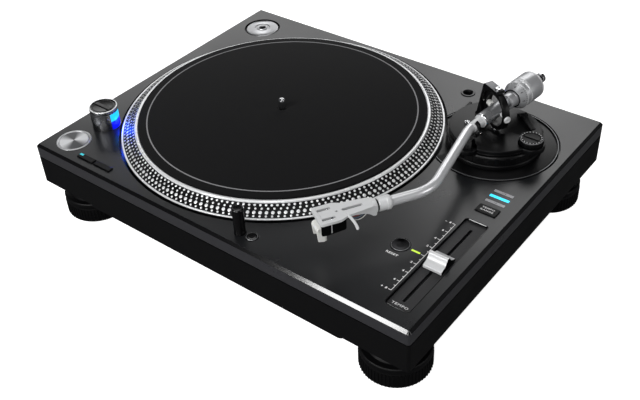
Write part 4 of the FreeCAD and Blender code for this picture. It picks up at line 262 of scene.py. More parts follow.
# %% Modelling helpers
def deselect():
    """Leaves edit mode and selects nothing."""
    if bpy.context.mode != "OBJECT":
        bpy.ops.object.mode_set(mode="OBJECT")
    bpy.ops.object.select_all(action="DESELECT")


def take(*pieces):
    """Selects these objects and makes the first one active."""
    deselect()
    for piece in pieces:
        piece.select_set(True)
    bpy.context.view_layer.objects.active = pieces[0]


def edit_all():
    """Goes into edit mode with everything selected."""
    bpy.ops.object.mode_set(mode="EDIT")
    bpy.ops.mesh.select_all(action="SELECT")


def apply_modifier(piece, kind, **settings):
    """Adds a modifier, sets it, and applies it."""
    take(piece)
    modifier = piece.modifiers.new(kind.title(), kind)
    for name, value in settings.items():
        setattr(modifier, name, value)
    bpy.ops.object.modifier_apply(modifier=modifier.name)


def softened(piece, edge, segments=2, angle=0.5):
    """Rounds the edges of a piece, by a width in mm, where it turns by more than an angle."""
    limit = {"limit_method": "ANGLE", "angle_limit": angle}
    apply_modifier(piece, "BEVEL", width=edge * MM, segments=segments, **limit)
    return tidy_mesh(piece)


def tidy_mesh(piece, angle=35):
    """Merges doubles, turns the faces outwards, and shades smooth up to an angle."""
    take(piece)
    edit_all()
    bpy.ops.mesh.remove_doubles(threshold=0.002 * MM)
    bpy.ops.mesh.normals_make_consistent(inside=False)
    bpy.ops.object.mode_set(mode="OBJECT")
    bpy.ops.object.shade_smooth_by_angle(angle=math.radians(angle))
    return piece


def drawn_out(offset):
    """Extrudes what is selected by an offset in mm."""
    bpy.ops.mesh.extrude_region_move(TRANSFORM_OT_translate={"value": [c * MM for c in offset]})


def filled(name, corners, radius=1.0):
    """One face, from (x, y, z) corners in mm, or a regular one where only their number is given."""
    deselect()
    count = corners if isinstance(corners, int) else len(corners)
    bpy.ops.mesh.primitive_circle_add(vertices=count, radius=radius * MM, fill_type="NGON")
    piece = bpy.context.object
    piece.name = name
    if count is not corners:
        for vertex, corner in zip(piece.data.vertices, corners):
            vertex.co = [c * MM for c in corner]
    return piece


def turned(name, outline, steps=96, corner=0.25):
    """A body of revolution about Z from (radius, height) corners in mm, each corner rounded off."""
    deselect()
    bpy.ops.mesh.primitive_plane_add(size=MM)
    piece = bpy.context.object
    piece.name = name
    bpy.ops.object.mode_set(mode="EDIT")
    bpy.ops.mesh.select_mode(type="VERT")
    bpy.ops.mesh.merge(type="CENTER")
    bpy.ops.transform.translate(value=(outline[0][0] * MM, 0, outline[0][1] * MM))
    for before, after in zip(outline, outline[1:]):
        drawn_out((after[0] - before[0], 0, after[1] - before[1]))
    if outline[0][0] > 0 or outline[-1][0] > 0:
        bpy.ops.object.mode_set(mode="OBJECT")
        for vertex in piece.data.vertices:
            vertex.select = vertex.index in (0, len(outline) - 1)
        bpy.ops.object.mode_set(mode="EDIT")
        bpy.ops.mesh.edge_face_add()
    bpy.ops.mesh.select_all(action="SELECT")
    if corner:
        bpy.ops.mesh.bevel(offset=corner * MM, segments=2, affect="VERTICES", clamp_overlap=True)
        bpy.ops.mesh.select_all(action="SELECT")
    bpy.ops.mesh.spin(steps=steps, angle=math.tau, center=(0, 0, 0), axis=(0, 0, 1))
    return tidy_mesh(piece)


def part_turned(name, outline, start, sweep, steps=24):
    """A section spun over part of a turn, from a start angle in degrees, closed at both ends."""
    piece = filled(name, [(radius, 0, height) for radius, height in outline])
    edit_all()
    bpy.ops.mesh.spin(steps=steps, angle=-math.radians(sweep), center=(0, 0, 0), axis=(0, 0, 1))
    return moved(tidy_mesh(piece), turn=start)


def slab(name, outline, low, high, edge=0.3, segments=2):
    """A plate with any outline of (x, y) corners in mm, from one height to another, edges rounded."""
    piece = filled(name, [(x, y, low) for x, y in outline])
    edit_all()
    drawn_out((0, 0, high - low))
    bpy.ops.object.mode_set(mode="OBJECT")
    tidy_mesh(piece)
    return softened(piece, edge, segments) if edge else tidy_mesh(piece)


def block(name, low, high, edge=0.3, segments=2):
    """A box between two corners in mm, with rounded edges."""
    outline = [(low[0], low[1]), (high[0], low[1]), (high[0], high[1]), (low[0], high[1])]
    return slab(name, outline, low[2], high[2], edge, segments)


def moved(piece, at=(0, 0, 0), turn=0.0, tilt=None):
    """Turns a piece about Z by degrees, after laying it along X where tilt is set, and puts it in place."""
    take(piece)
    matrix = Matrix.Translation(Vector(at) * MM) @ Matrix.Rotation(math.radians(turn), 4, "Z")
    if tilt:
        matrix = matrix @ Matrix.Rotation(math.radians(tilt[0]), 4, tilt[1])
    piece.matrix_world = matrix @ piece.matrix_world
    bpy.ops.object.transform_apply(location=True, rotation=True, scale=True)
    return piece


def joined(name, *pieces):
    """Several objects as one."""
    take(*pieces)
    bpy.ops.object.join()
    pieces[0].name = name
    return pieces[0]


def cut(piece, *tools):
    """Takes tools out of a piece."""
    for tool in tools:
        apply_modifier(piece, "BOOLEAN", object=tool, operation="DIFFERENCE", solver="EXACT")
        bpy.data.objects.remove(tool)
    return tidy_mesh(piece)


def copied(piece):
    """A second object with its own mesh."""
    copy = piece.copy()
    copy.data = piece.data.copy()
    bpy.context.scene.collection.objects.link(copy)
    return copy


def ringed(piece, count):
    """Copies a piece round the upright axis, as one object."""
    copies = [piece] + [copied(piece) for number in range(1, count)]
    for number, copy in enumerate(copies):
        copy.matrix_world = Matrix.Rotation(math.radians(360 * number / count), 4, "Z") @ copy.matrix_world
    take(*copies)
    bpy.ops.object.transform_apply(location=True, rotation=True, scale=True)
    return joined(piece.name, *copies)


def dressed(piece, finish, body, *stands_for):
    """Gives a piece its finish and its body, and hides the CAD nodes that it stands for."""
    piece.data.materials.clear()
    piece.data.materials.append(finish)
    if stands_for:
        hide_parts(*stands_for)
    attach(piece, body)
    return piece


def paint(piece, finish, wanted):
    """Gives a second finish to the faces whose centre, in mm, passes the test."""
    piece.data.materials.append(finish)
    for face in piece.data.polygons:
        if wanted(*(c / MM for c in face.center)):
            face.material_index = len(piece.data.materials) - 1


def turned_piece(name, outline, steps, corner, at, finish, body, *stands_for):
    """A turned piece, put in its place and dressed."""
    return dressed(moved(turned(name, outline, steps, corner), at), finish, body, *stands_for)


def away(centre):
    """A function that says how far a point is from a centre in plan, in mm."""
    return lambda x, y: math.dist((x, y), centre)


# %% [markdown]
# ## The studio
#
# The photograph is a catalogue picture: white all round, with a broad soft light from behind on the left
# that fades across the deck, a second patch of light on the strip at its right, and a narrow card in
# front whose reflection draws a bright line along the last part of the front edge. Area lamps do that,
# because a lamp with a size gives soft shadows and shows in metal as a panel. The floor glows for the
# camera alone, so it ends in white and still carries the shadow. In mirrors and gloss it is dark, or it
# would whiten the black body from below.


# %% Lamps, floor and world
def soft_lamp(name, at, aim, size, watts):
    """A rectangular lamp in metres that faces a point."""
    bpy.ops.object.light_add(type="AREA", location=at)
    lamp = bpy.context.object
    lamp.name = name
    lamp.rotation_euler = (Vector(aim) - Vector(at)).to_track_quat("-Z", "Y").to_euler()
    lamp.data.shape = "RECTANGLE"
    lamp.data.size, lamp.data.size_y = size
    lamp.data.energy = watts


soft_lamp("back_softbox", (-0.93, 1.42, 0.88), (0, 0, 0.05), (2.3, 0.6), 9.2)
soft_lamp("strip_card", (-0.35, 1.31, 1.19), (0.2, 0, 0.08), (0.5, 0.4), 2.0)
soft_lamp("top_softbox", (0.1, 0.1, 1.9), (0, 0, 0), (1.1, 1.1), 8)
soft_lamp("front_fill", (0.7, -1.65, 1.25), (0, 0, 0.05), (1.0, 0.8), 16)
soft_lamp("right_fill", (1.9, 0.4, 0.7), (0.1, 0, 0.05), (0.8, 0.8), 5)
soft_lamp("edge_card", (-0.24, -0.89, 0.645), (0.18, -0.17, 0.08), (0.2, 0.3), 5)

FLOOR_SIZE, FLOOR_GLOW, GLOW_IN_GLOSS, STUDIO_LIGHT = 8, 0.9, 0.05, 0.3
deselect()
bpy.ops.mesh.primitive_plane_add(size=FLOOR_SIZE)
floor = bpy.context.object
floor.name = "studio_floor"
floor_paint, tree, shader = new_material("matt_studio_floor", Roughness=0.9, Emission_Color="#ffffff")
rays = add(tree, "LightPath").outputs
shade = mixed(tree, rays["Is Glossy Ray"], "#dedede", "#343436")
tree.links.new(shade, shader.inputs["Base Color"])
seen = calculated(tree, "MAXIMUM", rays["Is Camera Ray"], rays["Is Transmission Ray"])
glow = calculated(tree, "MAXIMUM", seen, calculated(tree, "MULTIPLY", rays["Is Glossy Ray"], GLOW_IN_GLOSS))
tree.links.new(calculated(tree, "MULTIPLY", glow, FLOOR_GLOW), shader.inputs["Emission Strength"])
floor.data.materials.append(floor_paint)
floor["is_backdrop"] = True

world = bpy.data.worlds.new("studio")
bpy.context.scene.world = world
world.use_nodes = True
tree = world.node_tree
direction = add(tree, "SeparateXYZ", {0: add(tree, "TexCoord").outputs["Generated"]})
height = add(tree, "MapRange", {0: direction.outputs["Z"], 1: 0.25, 2: 0.7, 3: 0.0, 4: 1.0})
studio = tree.nodes["Background"]
tree.links.new(mixed(tree, height.outputs[0], "#b4b4b6", "#3a3a3c"), studio.inputs["Color"])
studio.inputs["Strength"].default_value = STUDIO_LIGHT
white = add(tree, "Background", {"Color": hex_colour("#ffffff"), "Strength": 1.0})
to_camera = add(tree, "LightPath").outputs["Is Camera Ray"]
choice = add(tree, "MixShader", {0: to_camera, 1: studio.outputs[0], 2: white.outputs[0]})
tree.links.new(choice.outputs[0], tree.nodes["World Output"].inputs["Surface"])
bpy.context.scene.view_settings.view_transform = "Standard"

# %% [markdown]
# ## Places that the pieces share
#
# The record's nodes give every centre, so a piece that is modelled again lands on its CAD twin. Sizes
# below are in millimetres, as on a drawing, and the helpers turn them into Blender's metres.


# %% Centres read from the frame
def centre_of(node):
    """The middle of a node in plan, in mm."""
    low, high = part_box(node)
    return ((low[0] + high[0]) / 2 / MM, (low[1] + high[1]) / 2 / MM)


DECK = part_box("deck_panel")[1][2] / MM
ARM_AXIS = 121.7
PLATTER, PIVOT, START, PILLAR, SKATE, FADER, RESET = (
    centre_of(node)
    for node in (
        "platter", "height_ring", "start_stop_button", "strobe_housing", "anti_skate_knob", "tempo_panel",
        "reset_button",
    )
)
PIVOT_POINT = (*PIVOT, ARM_AXIS)
print(f"deck at {DECK:.1f} mm, pivot of the arm at {PIVOT[0]:.1f}, {PIVOT[1]:.1f}")

# %% [markdown]
# ## The platter
#
# The platter is a heavy casting, turned on a lathe. Its skirt has a thin bright bead at the bottom, a
# sloping black band with four rows of polished dots, and a broad polished bead round the mat. The bands
# are one spun section whose faces get three finishes by their radius. The dots are real flattened caps:
# one is drawn for each row, copied round, and laid back on the slope.

# %% Platter casting
SLOPE_LOW, SLOPE_HIGH = (164.1, 85.5), (151.5, 93.1)
platter_outline = [
    (5.05, 80.0), (14.0, 80.0), (16.0, 88.6), (149.2, 88.6), (161.5, 81.3), (161.5, 77.5), (165.0, 77.5),
    (165.0, 84.3), (166.0, 84.7), (166.0, 85.5), (165.4, 85.9), (164.6, 85.9), SLOPE_LOW, SLOPE_HIGH,
    (151.5, 93.7), (151.1, 94.4), (150.4, 94.7), (149.2, 94.7), (148.4, 94.4), (148.0, 93.8), (148.0, 93.2),
    (5.05, 93.2),
]
platter = turned_piece(
    "platter_casting", platter_outline, 256, 0.2, (*PLATTER, 0), turned_aluminium, "platter", "platter"
)
from_platter = away(PLATTER)
paint(platter, edge_lacquer, lambda x, y, z: 151.45 < from_platter(x, y) < 165.5 and z > 77.0)
paint(platter, polished_aluminium, lambda x, y, z: from_platter(x, y) > 164.05 and z > 84.2)
paint(platter, polished_aluminium, lambda x, y, z: 147.9 < from_platter(x, y) < 151.6 and z > 93.0)
print(f"platter {len(platter.data.polygons)} faces")

# %% Rows of dots on the slope
DOT_PROUD, DOT_SUNK = 0.2, 0.08
slope_lean = math.degrees(math.atan2(SLOPE_HIGH[1] - SLOPE_LOW[1], SLOPE_LOW[0] - SLOPE_HIGH[0]))
dot_rows = ((0.135, 1.15, 180), (0.375, 1.75, 174), (0.635, 1.15, 169), (0.865, 1.25, 186))
for number, (share, radius, count) in enumerate(dot_rows):
    dot = filled(f"dots_row_{number + 1}", 12, radius)
    edit_all()
    drawn_out((0, 0, DOT_PROUD))
    bpy.ops.transform.resize(value=(0.86, 0.86, 1))
    bpy.ops.object.mode_set(mode="OBJECT")
    tidy_mesh(dot, 60)
    out = SLOPE_LOW[0] + (SLOPE_HIGH[0] - SLOPE_LOW[0]) * share
    up_slope = SLOPE_LOW[1] + (SLOPE_HIGH[1] - SLOPE_LOW[1]) * share
    moved(dot, (out, 0, up_slope - DOT_SUNK), 0, (slope_lean, "Y"))
    dressed(moved(ringed(dot, count), (*PLATTER, 0)), polished_aluminium, "platter")
print(f"{sum(count for share, radius, count in dot_rows)} dots")

# %% [markdown]
# ## The slipmat, spindle and adapter
#
# The slipmat is a disc of pressed wool felt that lies loose on the platter, with one printed ring near its
# edge. It is spun with a soft round edge, cut 295 mm across. The spindle is polished steel with a rounded
# tip, relieved where it passes through the mat, and the adapter for large-hole records is a spun aluminium
# disc.

# %% Slipmat and its printed ring
MAT_RADIUS, MAT_FLOOR, MAT_TOP = 147.6, 93.2, 96.3
mat_outline = [(3.88, MAT_FLOOR), (MAT_RADIUS, MAT_FLOOR), (MAT_RADIUS, MAT_TOP), (3.88, MAT_TOP)]
mat = turned_piece("felt_slipmat", mat_outline, 192, 0.8, (*PLATTER, 0), felt_wool, "slipmat", "slipmat")
ring_outline = [(137.8, 96.27), (139.1, 96.27), (139.1, 96.33), (137.8, 96.33)]
mat_print = turned_piece("mat_ring_print", ring_outline, 192, 0, (*PLATTER, 0), grey_print, "slipmat")

# %% Spindle and record adapter
spindle_outline = [
    (0, 50), (4, 50), (5, 51), (5, 93.0), (2.825, 93.0), (2.825, 96.6), (3.425, 96.6), (3.575, 96.75),
    (3.575, 105.2), (3.11, 106.7), (1.79, 107.7), (0, 108.0),
]
turned_piece(
    "record_spindle", spindle_outline, 48, 0.15, (*PLATTER, 0), bright_chrome, "platter", "spindle"
)
adapter_outline = [
    (3.625, 0), (18.7, 0), (19.2, 0.5), (19.2, 3.0), (18.4, 3.6), (9.0, 4.5), (8.6, 3.7), (6.0, 3.7),
    (5.6, 4.6), (4.3, 4.5), (3.625, 4.0),
]
adapter_place = (*centre_of("adapter_45"), DECK - 4.0)
turned_piece(
    "record_adapter", adapter_outline, 96, 0.2, adapter_place, spun_aluminium, "adapter_45", "adapter_45"
)
print(f"mat {len(mat.data.polygons)} faces")

# %% [markdown]
# ## Deck, lower body and cover
#
# The deck is one casting: a satin top, a narrow glossy bevel, and a satin band under it. One enamel does
# all three. Its gloss and colour are mixed by height on the piece, because the bevel lies between two known
# heights. The colour by height is painted light and shade: the bevel is painted darker, as painted shade,
# and the band lighter, as painted light where it catches more light than the top. The lower body is resin,
# and darker.

# %% Deck enamel with a glossy bevel
BEVEL, BEVEL_GLOSS = 2.6, 0.13
tree = deck_enamel.node_tree
shader = tree.nodes["Principled BSDF"]
rise = add(tree, "SeparateXYZ", {0: own_place(tree)}).outputs["Z"]
above = calculated(tree, "GREATER_THAN", rise, (DECK - BEVEL - 0.02) * MM)
below = calculated(tree, "LESS_THAN", rise, (DECK - 0.03) * MM)
on_bevel = calculated(tree, "MULTIPLY", above, below)
satin = shader.inputs["Roughness"].links[0].from_socket
gloss = add(tree, "Mix", {0: on_bevel, 2: satin, 3: BEVEL_GLOSS}, data_type="FLOAT")
tree.links.new(gloss.outputs[0], shader.inputs["Roughness"])
# Painted light and shade by height: the bevel darker, the band under it lighter.
on_band = calculated(tree, "LESS_THAN", rise, (DECK - BEVEL) * MM)
tone = mixed(tree, on_band, mixed(tree, on_bevel, "#151618", "#060607"), "#2f2f32")
tree.links.new(tone, shader.inputs["Base Color"])

# %% [markdown]
# ## The feet
#
# Each foot is an isolating rubber drum that screws up and down: a ribbed grip below, a smooth band above
# it, and a neck of smaller width. One is spun, sixty small ribs are set round it, and the other three
# are copies.

# %% Ribbed feet
foot_outline = [
    (4.05, 2.0), (26.8, 2.0), (26.8, 0.0), (31.2, 0.0), (32.1, 1.2), (32.1, 16.4), (31.6, 17.0),
    (32.4, 17.7), (32.4, 22.4), (31.4, 23.6), (26.0, 23.0), (22.0, 26.6), (22.0, 36.9), (4.05, 36.9),
]
drum = turned("foot_drum", foot_outline, 120, 0.5)
rib = slab("foot_rib", [(31.4, -0.85), (32.78, -0.3), (32.78, 0.3), (31.4, 0.85)], 1.6, 15.9, 0)
pattern = joined("foot_pattern", drum, ringed(rib, 60))
for name in ("foot_front_left", "foot_front_right", "foot_back_left", "foot_back_right"):
    foot = pattern if name == "foot_back_right" else copied(pattern)
    foot.name = name + "_rubber"
    dressed(moved(foot, (*centre_of(name), 0)), foot_rubber, name, name)
print(f"each foot has {len(pattern.data.polygons)} faces")

# %% [markdown]
# ## Start key and speed keys
#
# The start key is the brightest thing on the left: an aluminium disc faced on a lathe, inside a satin ring.
# Its fan of light and dark wedges is a painted reflection: it is drawn in its colour by the angle round the
# key, because the studio's broad lamps would fill a true anisotropic shine. The two speed keys are plain
# black resin, and the first has a small lit window.

# %% Start key in its ring
FAN_TURN = -118
aluminium_painted_fan, tree, shader = new_material("aluminium_painted_fan", Roughness=0.45, Metallic=0.15)
place = add(tree, "SeparateXYZ", {0: own_place(tree)}).outputs
across = calculated(tree, "SUBTRACT", place["X"], START[0] * MM)
ahead = calculated(tree, "SUBTRACT", place["Y"], START[1] * MM)
angle = calculated(tree, "ARCTAN2", ahead, across)
# The base colour carries a painted reflection: light and dark wedges by the angle round the key.
wave = calculated(tree, "COSINE", calculated(tree, "MULTIPLY_ADD", angle, 2.0, math.radians(FAN_TURN)))
share = add(tree, "MapRange", {0: wave, 1: -0.7, 2: 0.8, 3: 0.0, 4: 1.0})
tree.links.new(mixed(tree, share.outputs[0], "#4e4f51", "#dadbdd"), shader.inputs["Base Color"])
bezel_outline = [
    (15.1, -3.5), (16.5, -3.5), (16.5, 0), (17.7, 0), (17.7, 0.3), (17.1, 0.8), (16.3, 0.8), (15.4, 0.0)
]
turned_piece(
    "start_key_ring", bezel_outline, 96, 0.15, (*START, DECK), weight_satin, "plinth", "start_stop_bezel"
)
key_outline = [(0, -3.7), (4, -3.7), (4, -2.5), (14.9, -2.5), (14.9, 0.3), (14.2, 0.9), (0, 0.62)]
start_key = turned("start_key", key_outline, 96, 0.2)
dressed(moved(start_key, (*START, DECK)), aluminium_painted_fan, "start_stop_button", "start_stop_button")

# %% Speed keys and their window
for number in (33, 45):
    node = f"speed_{number}_button"
    x, y = centre_of(node)
    low, high = (x - 11.1, y - 3.3, DECK - 3.5), (x + 11.1, y + 3.3, DECK + 1.4)
    key = block(f"speed_key_{number}", low, high, 0.7, 3)
    stem = block("stem", (x - 7.0, y - 1.8, DECK - 3.7), (x + 7.0, y + 1.8, DECK - 3.2), 0)
    dressed(joined(f"speed_key_{number}", key, stem), key_resin, node, node)
low, high = (tuple(v / MM for v in corner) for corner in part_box("speed_33_lens"))
window = block("speed_lens", (low[0], low[1], DECK + 0.6), (high[0], high[1], DECK + 1.45), 0.15)
dressed(window, teal_light, "speed_33_button", "speed_33_lens")
print("left keys done")

# %% [markdown]
# ## The strobe pillar
#
# The pillar beside the platter carries the power switch and a lamp that lights the dots. Its barrel is
# dark chrome with a tall opening that faces the platter. The curved window behind it is cyan above and
# deep blue below, and a small blue lamp before it lights the dots and the deck. The switch on top is a
# dished black disc in a bright rim, with a raised grip across it. The barrel is spun, and a wedge is cut
# out of it; the window is the same spin over a part of the turn.

# %% Barrel, window and power switch
WINDOW_FLOOR, WINDOW_TOP, WINDOW_START, WINDOW_SWEEP = 0.5, 18.6, -16.5, 98


def window_part(name, inner, outer):
    """A ring's part in the window's place, between two radii in mm."""
    outline = [(inner, WINDOW_FLOOR), (outer, WINDOW_FLOOR), (outer, WINDOW_TOP), (inner, WINDOW_TOP)]
    return part_turned(name, outline, WINDOW_START, WINDOW_SWEEP)


barrel_outline = [(12.9, 0), (14.5, 0), (14.5, 19.4), (3.05, 19.4), (3.05, 17.8), (12.9, 17.8)]
barrel = cut(turned("pillar_barrel", barrel_outline, 96, 0.2), window_part("wedge", 5, 16))
dressed(moved(barrel, (*PILLAR, DECK)), dark_chrome, "plinth", "strobe_housing")
lens = window_part("pillar_window", 13.0, 14.1)
dressed(moved(lens, (*PILLAR, DECK)), strobe_light, "plinth", "strobe_window")

KNOB_SEAT = DECK + 19.4
switch_outline = [
    (0, -12), (3, -12), (3, 0.3), (14.1, 0.3), (14.5, 0.7), (14.5, 3.0), (14.0, 3.6), (13.3, 3.6),
    (12.9, 2.9), (11.0, 2.75), (10.4, 3.0), (9.8, 2.75), (0, 2.7),
]
switch = turned("power_switch", switch_outline, 96, 0.15)
grip = slab("grip", [(-10.9, -2.2), (10.9, -2.2), (10.9, 2.2), (-10.9, 2.2)], 2.6, 3.6, 0.4, 3)
switch = moved(joined("power_switch", switch, grip), (*PILLAR, KNOB_SEAT))
dressed(switch, gloss_black, "power_knob", "power_knob")
from_pillar = away(PILLAR)
paint(switch, dark_chrome, lambda x, y, z: from_pillar(x, y) > 13.9 and z > KNOB_SEAT + 0.2)
paint(switch, polished_aluminium, lambda x, y, z: from_pillar(x, y) > 13.1 and z > KNOB_SEAT + 3.1)
glow_place = (PILLAR[0] + 15.6, PILLAR[1] + 4.6, DECK + 8.5)
bpy.ops.object.light_add(type="POINT", location=[c * MM for c in glow_place])
glow_lamp = bpy.context.object
glow_lamp.name = "strobe_glow"
glow_lamp.data.energy = 0.02
glow_lamp.data.color = hex_colour("#1048ff")[:3]
glow_lamp.data.shadow_soft_size = 0.003
print(f"barrel {len(barrel.data.polygons)} faces")

# %% [markdown]
# ## Stylus light and round keys
#
# The pop-up light is a slim black tube with a small window that looks at the platter, and a round key
# beside it releases it. Both keys in this group are turned discs with a dished face, and a thin lighter
# ring round the edge of each face is a painted highlight on its rim. The face of the reset key was faced on
# a lathe and anodised black. A thin pressed rim on the deck frames each of them.

# %% Stylus light
LIGHT_PLACE = (*centre_of("stylus_light"), DECK)
tube_outline = [
    (0, -5.5), (6.2, -5.5), (6.2, -3.8), (5.3, -3.8), (5.3, 26.6), (4.6, 27.6), (4.0, 27.6), (3.6, 27.2),
    (0, 27.2),
]
light_mouth = block("light_mouth", (-3.2, 2.6, 20.1), (3.2, 6.8, 25.1), 0)
light = cut(turned("stylus_light_tube", tube_outline, 64, 0.15), light_mouth)
dressed(moved(light, LIGHT_PLACE), gloss_black, "stylus_light", "stylus_light")
lamp_lens = block("stylus_lamp_lens", (-3.0, 2.5, 20.3), (3.0, 3.2, 24.9), 0.3)
dressed(moved(lamp_lens, LIGHT_PLACE), guard_plastic, "stylus_light")


# %% Round keys with pressed rims
def round_key(name, node, radius, proud, dish, finish):
    """A turned key with a dished face, in a pressed rim on the deck."""
    place = (*centre_of(node), DECK)
    outline = [
        (0, -4.7), (radius + 0.9, -4.7), (radius + 0.9, -3.8), (radius, -3.8), (radius, proud - 0.5),
        (radius - 0.5, proud), (radius - 1.2, proud), (radius * 0.5, proud - dish * 0.8), (0, proud - dish),
    ]
    key = turned_piece(name, outline, 72, 0.12, place, finish, node, node)
    from_key = away(centre_of(node))
    # A thin ring at the edge of the face gets a lighter finish: a painted highlight on the rim.
    painted_rim_highlight = lambda x, y, z: radius - 0.75 < from_key(x, y) < radius - 0.1 and z > DECK + proud - 0.6
    paint(key, yoke_top_satin, painted_rim_highlight)
    rim = [
        (radius + 0.3, -0.4), (radius + 1.0, -0.4), (radius + 1.0, 0.06), (radius + 0.6, 0.16),
        (radius + 0.3, 0.06),
    ]
    turned_piece(name + "_rim", rim, 72, 0.05, place, gloss_black, "plinth")


round_key("light_key", "stylus_light_button", 5.4, 0.8, 0.3, gloss_black)
round_key("reset_key", "reset_button", 8.3, 0.8, 0.5, spun_black)
print(f"stylus light {len(light.data.polygons)} faces")

# %% [markdown]
# ## Fader, range key and light windows
#
# The fader's panel lies in a recess with rounded corners. Its cap is the brightest thing on the right:
# two curved flanks that rise to a narrow ridge with a white line. A profile drawn from the side and
# extruded across gives that at once. Plates like this are drawn flat and then stood up by a third of a
# turn about the diagonal of a cube, which swaps the three axes round.


# %% Fader panel, trim and cap
def rounded_outline(width, depth, radius, steps=5, centre=(0, 0)):
    """The corners of a rectangle with rounded corners, in mm."""
    points = []
    for number, (x_side, y_side) in enumerate(((1, 1), (-1, 1), (-1, -1), (1, -1))):
        for step in range(steps + 1):
            angle = math.radians(90 * number + 90 * step / steps)
            x = x_side * (width / 2 - radius) + radius * math.cos(angle)
            y = y_side * (depth / 2 - radius) + radius * math.sin(angle)
            points.append((x + centre[0], y + centre[1]))
    return points


def stood_up(piece):
    """Turns a plate drawn in XY and thick along Z into one drawn in YZ and thick along X."""
    return moved(piece, tilt=(120, Vector((1, 1, 1))))


PANEL_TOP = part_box("tempo_panel")[1][2] / MM
ON_PANEL, OVER_PANEL = (*FADER, PANEL_TOP), (*FADER, DECK)
panel = slab("tempo_plate", rounded_outline(22.4, 127.4, 3.0), -1.5, 0, 0.15)
cut(panel, slab("slot_tool", rounded_outline(2.8, 108, 1.3, 4), -3, 1, 0))
dressed(moved(panel, ON_PANEL), panel_black, "plinth", "tempo_panel")
trim = slab("tempo_well_trim", rounded_outline(24.2, 129.2, 3.6), -0.1, 0.18, 0)
cut(trim, slab("trim_tool", rounded_outline(22.9, 127.9, 3.0), -1, 1, 0))
dressed(moved(softened(trim, 0.08, 1, 0.8), OVER_PANEL), gloss_black, "plinth")
# A bright strip inside the back wall of the recess: a painted highlight where the edge of the well catches
# the light.
well_painted_glint = block("tempo_well_painted_glint", (-8.6, 63.2, -0.5), (8.6, 63.95, -0.25), 0.1)
dressed(moved(well_painted_glint, OVER_PANEL), polished_aluminium, "plinth")

cap_side = [
    (11.0, 0.3), (11.0, 2.9), (10.4, 3.6), (8.0, 4.3), (5.4, 5.4), (3.6, 7.2), (2.4, 9.4), (1.7, 10.5),
    (1.1, 10.9),
]
cap = slab("fader_cap", cap_side + [(-y, z) for y, z in reversed(cap_side)], -9.2, 9.2, 0.35, 3)
stem = block("stem", (-1.0, -3.0, -8.5), (1.0, 3.0, 1.0), 0.1)
cap = moved(joined("fader_cap", stood_up(cap), stem), ON_PANEL)
dressed(cap, silver_paint, "fader_cap", "fader_cap")
# The ends of the cap and its foot are painted black: painted shade and a painted reflection of the dark
# deck.
paint(cap, gloss_black, lambda x, y, z: abs(x - FADER[0]) > 9.0 or z < PANEL_TOP + 0.4)
cap_line = block("fader_cap_line", (-9.0, -0.45, 10.85), (9.0, 0.45, 10.98), 0)
dressed(moved(cap_line, ON_PANEL), white_print, "fader_cap")

# %% Range key and light windows
range_x, range_y = centre_of("range_button")
range_key = slab("range_key", rounded_outline(20.6, 11.0, 1.4), DECK - 3.5, DECK + 1.2, 0.5, 3)
dressed(moved(range_key, (range_x, range_y, 0)), key_resin, "range_button", "range_button")

low, high = (tuple(v / MM for v in corner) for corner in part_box("indicator_windows"))
windows = []
for number, finish_of_window in enumerate((unlit_window, cyan_light, unlit_window)):
    x, y = high[0] - 9.75, high[1] - 3.4 - 8.1 * number + 1.7
    bar = slab(f"range_window_{number}", rounded_outline(19.5, 3.4, 0.5, 3), DECK - 3.5, DECK + 0.12, 0.1)
    moved(bar, (x, y, 0))
    dressed(bar, finish_of_window, "plinth", *(["indicator_windows"] if number == 0 else []))
    frame_outline = rounded_outline(20.9, 4.8, 0.9, 3)
    surround = slab(f"window_surround_{number}", frame_outline, DECK - 0.05, DECK + 0.05, 0)
    cut(surround, slab("surround_tool", rounded_outline(19.6, 3.5, 0.5, 3), DECK - 1, DECK + 1, 0))
    dressed(moved(surround, (x, y, 0)), gloss_black, "plinth")
    windows.append((x, y))
zero_light = slab("zero_light", rounded_outline(8.6, 2.0, 0.3, 3), DECK - 3.5, DECK + 0.12, 0.1)
dressed(moved(zero_light, (low[0] + 4.3, RESET[1], 0)), green_light, "plinth")
print(f"{len(windows)} windows beside a cap of {len(cap.data.polygons)} faces")

# %% [markdown]
# ## Printed scale and words
#
# Only plain words and numbers are printed here: the fader's scale, and what its keys do. Each is a text
# object made a mesh and laid on its surface, a twentieth of a millimetre thick, as a silk-screen print
# would be. The scale's line and ticks are thin plates.


# %% Print
def lettering(name, text, size, bold=0.0, line_space=1.0, letter_space=1.0):
    """Plain characters round the origin as a thin mesh, with a font size in mm."""
    deselect()
    bpy.ops.object.text_add()
    words = bpy.context.object
    words.name = name
    words.data.body = text
    words.data.align_x = words.data.align_y = "CENTER"
    words.data.size = size * MM
    words.data.extrude = 0.02 * MM
    words.data.offset = bold * MM
    words.data.resolution_u = 2
    words.data.space_line = line_space
    words.data.space_character = letter_space
    bpy.ops.object.convert(target="MESH")
    return words


def printed(name, text, at, tall, wide=1.0, body="plinth", finish=white_print, bold=0.0):
    """Plain lettering round a point, with its capital height in mm."""
    words = lettering(name, text, tall / 0.7, bold, 1.25, 1.1)
    words.scale = (wide, 1, 1)
    dressed(moved(words, at), finish, body)


LINE_X, SCALE_HALF, PRINT = 187.6, 50.0, DECK + 0.02


def scale_bar(start, end, y, half):
    """A flat bar of the scale, between two distances left of its line."""
    return block("scale_bar", (LINE_X - start, y - half, -0.02), (LINE_X - end, y + half, 0.04), 0)


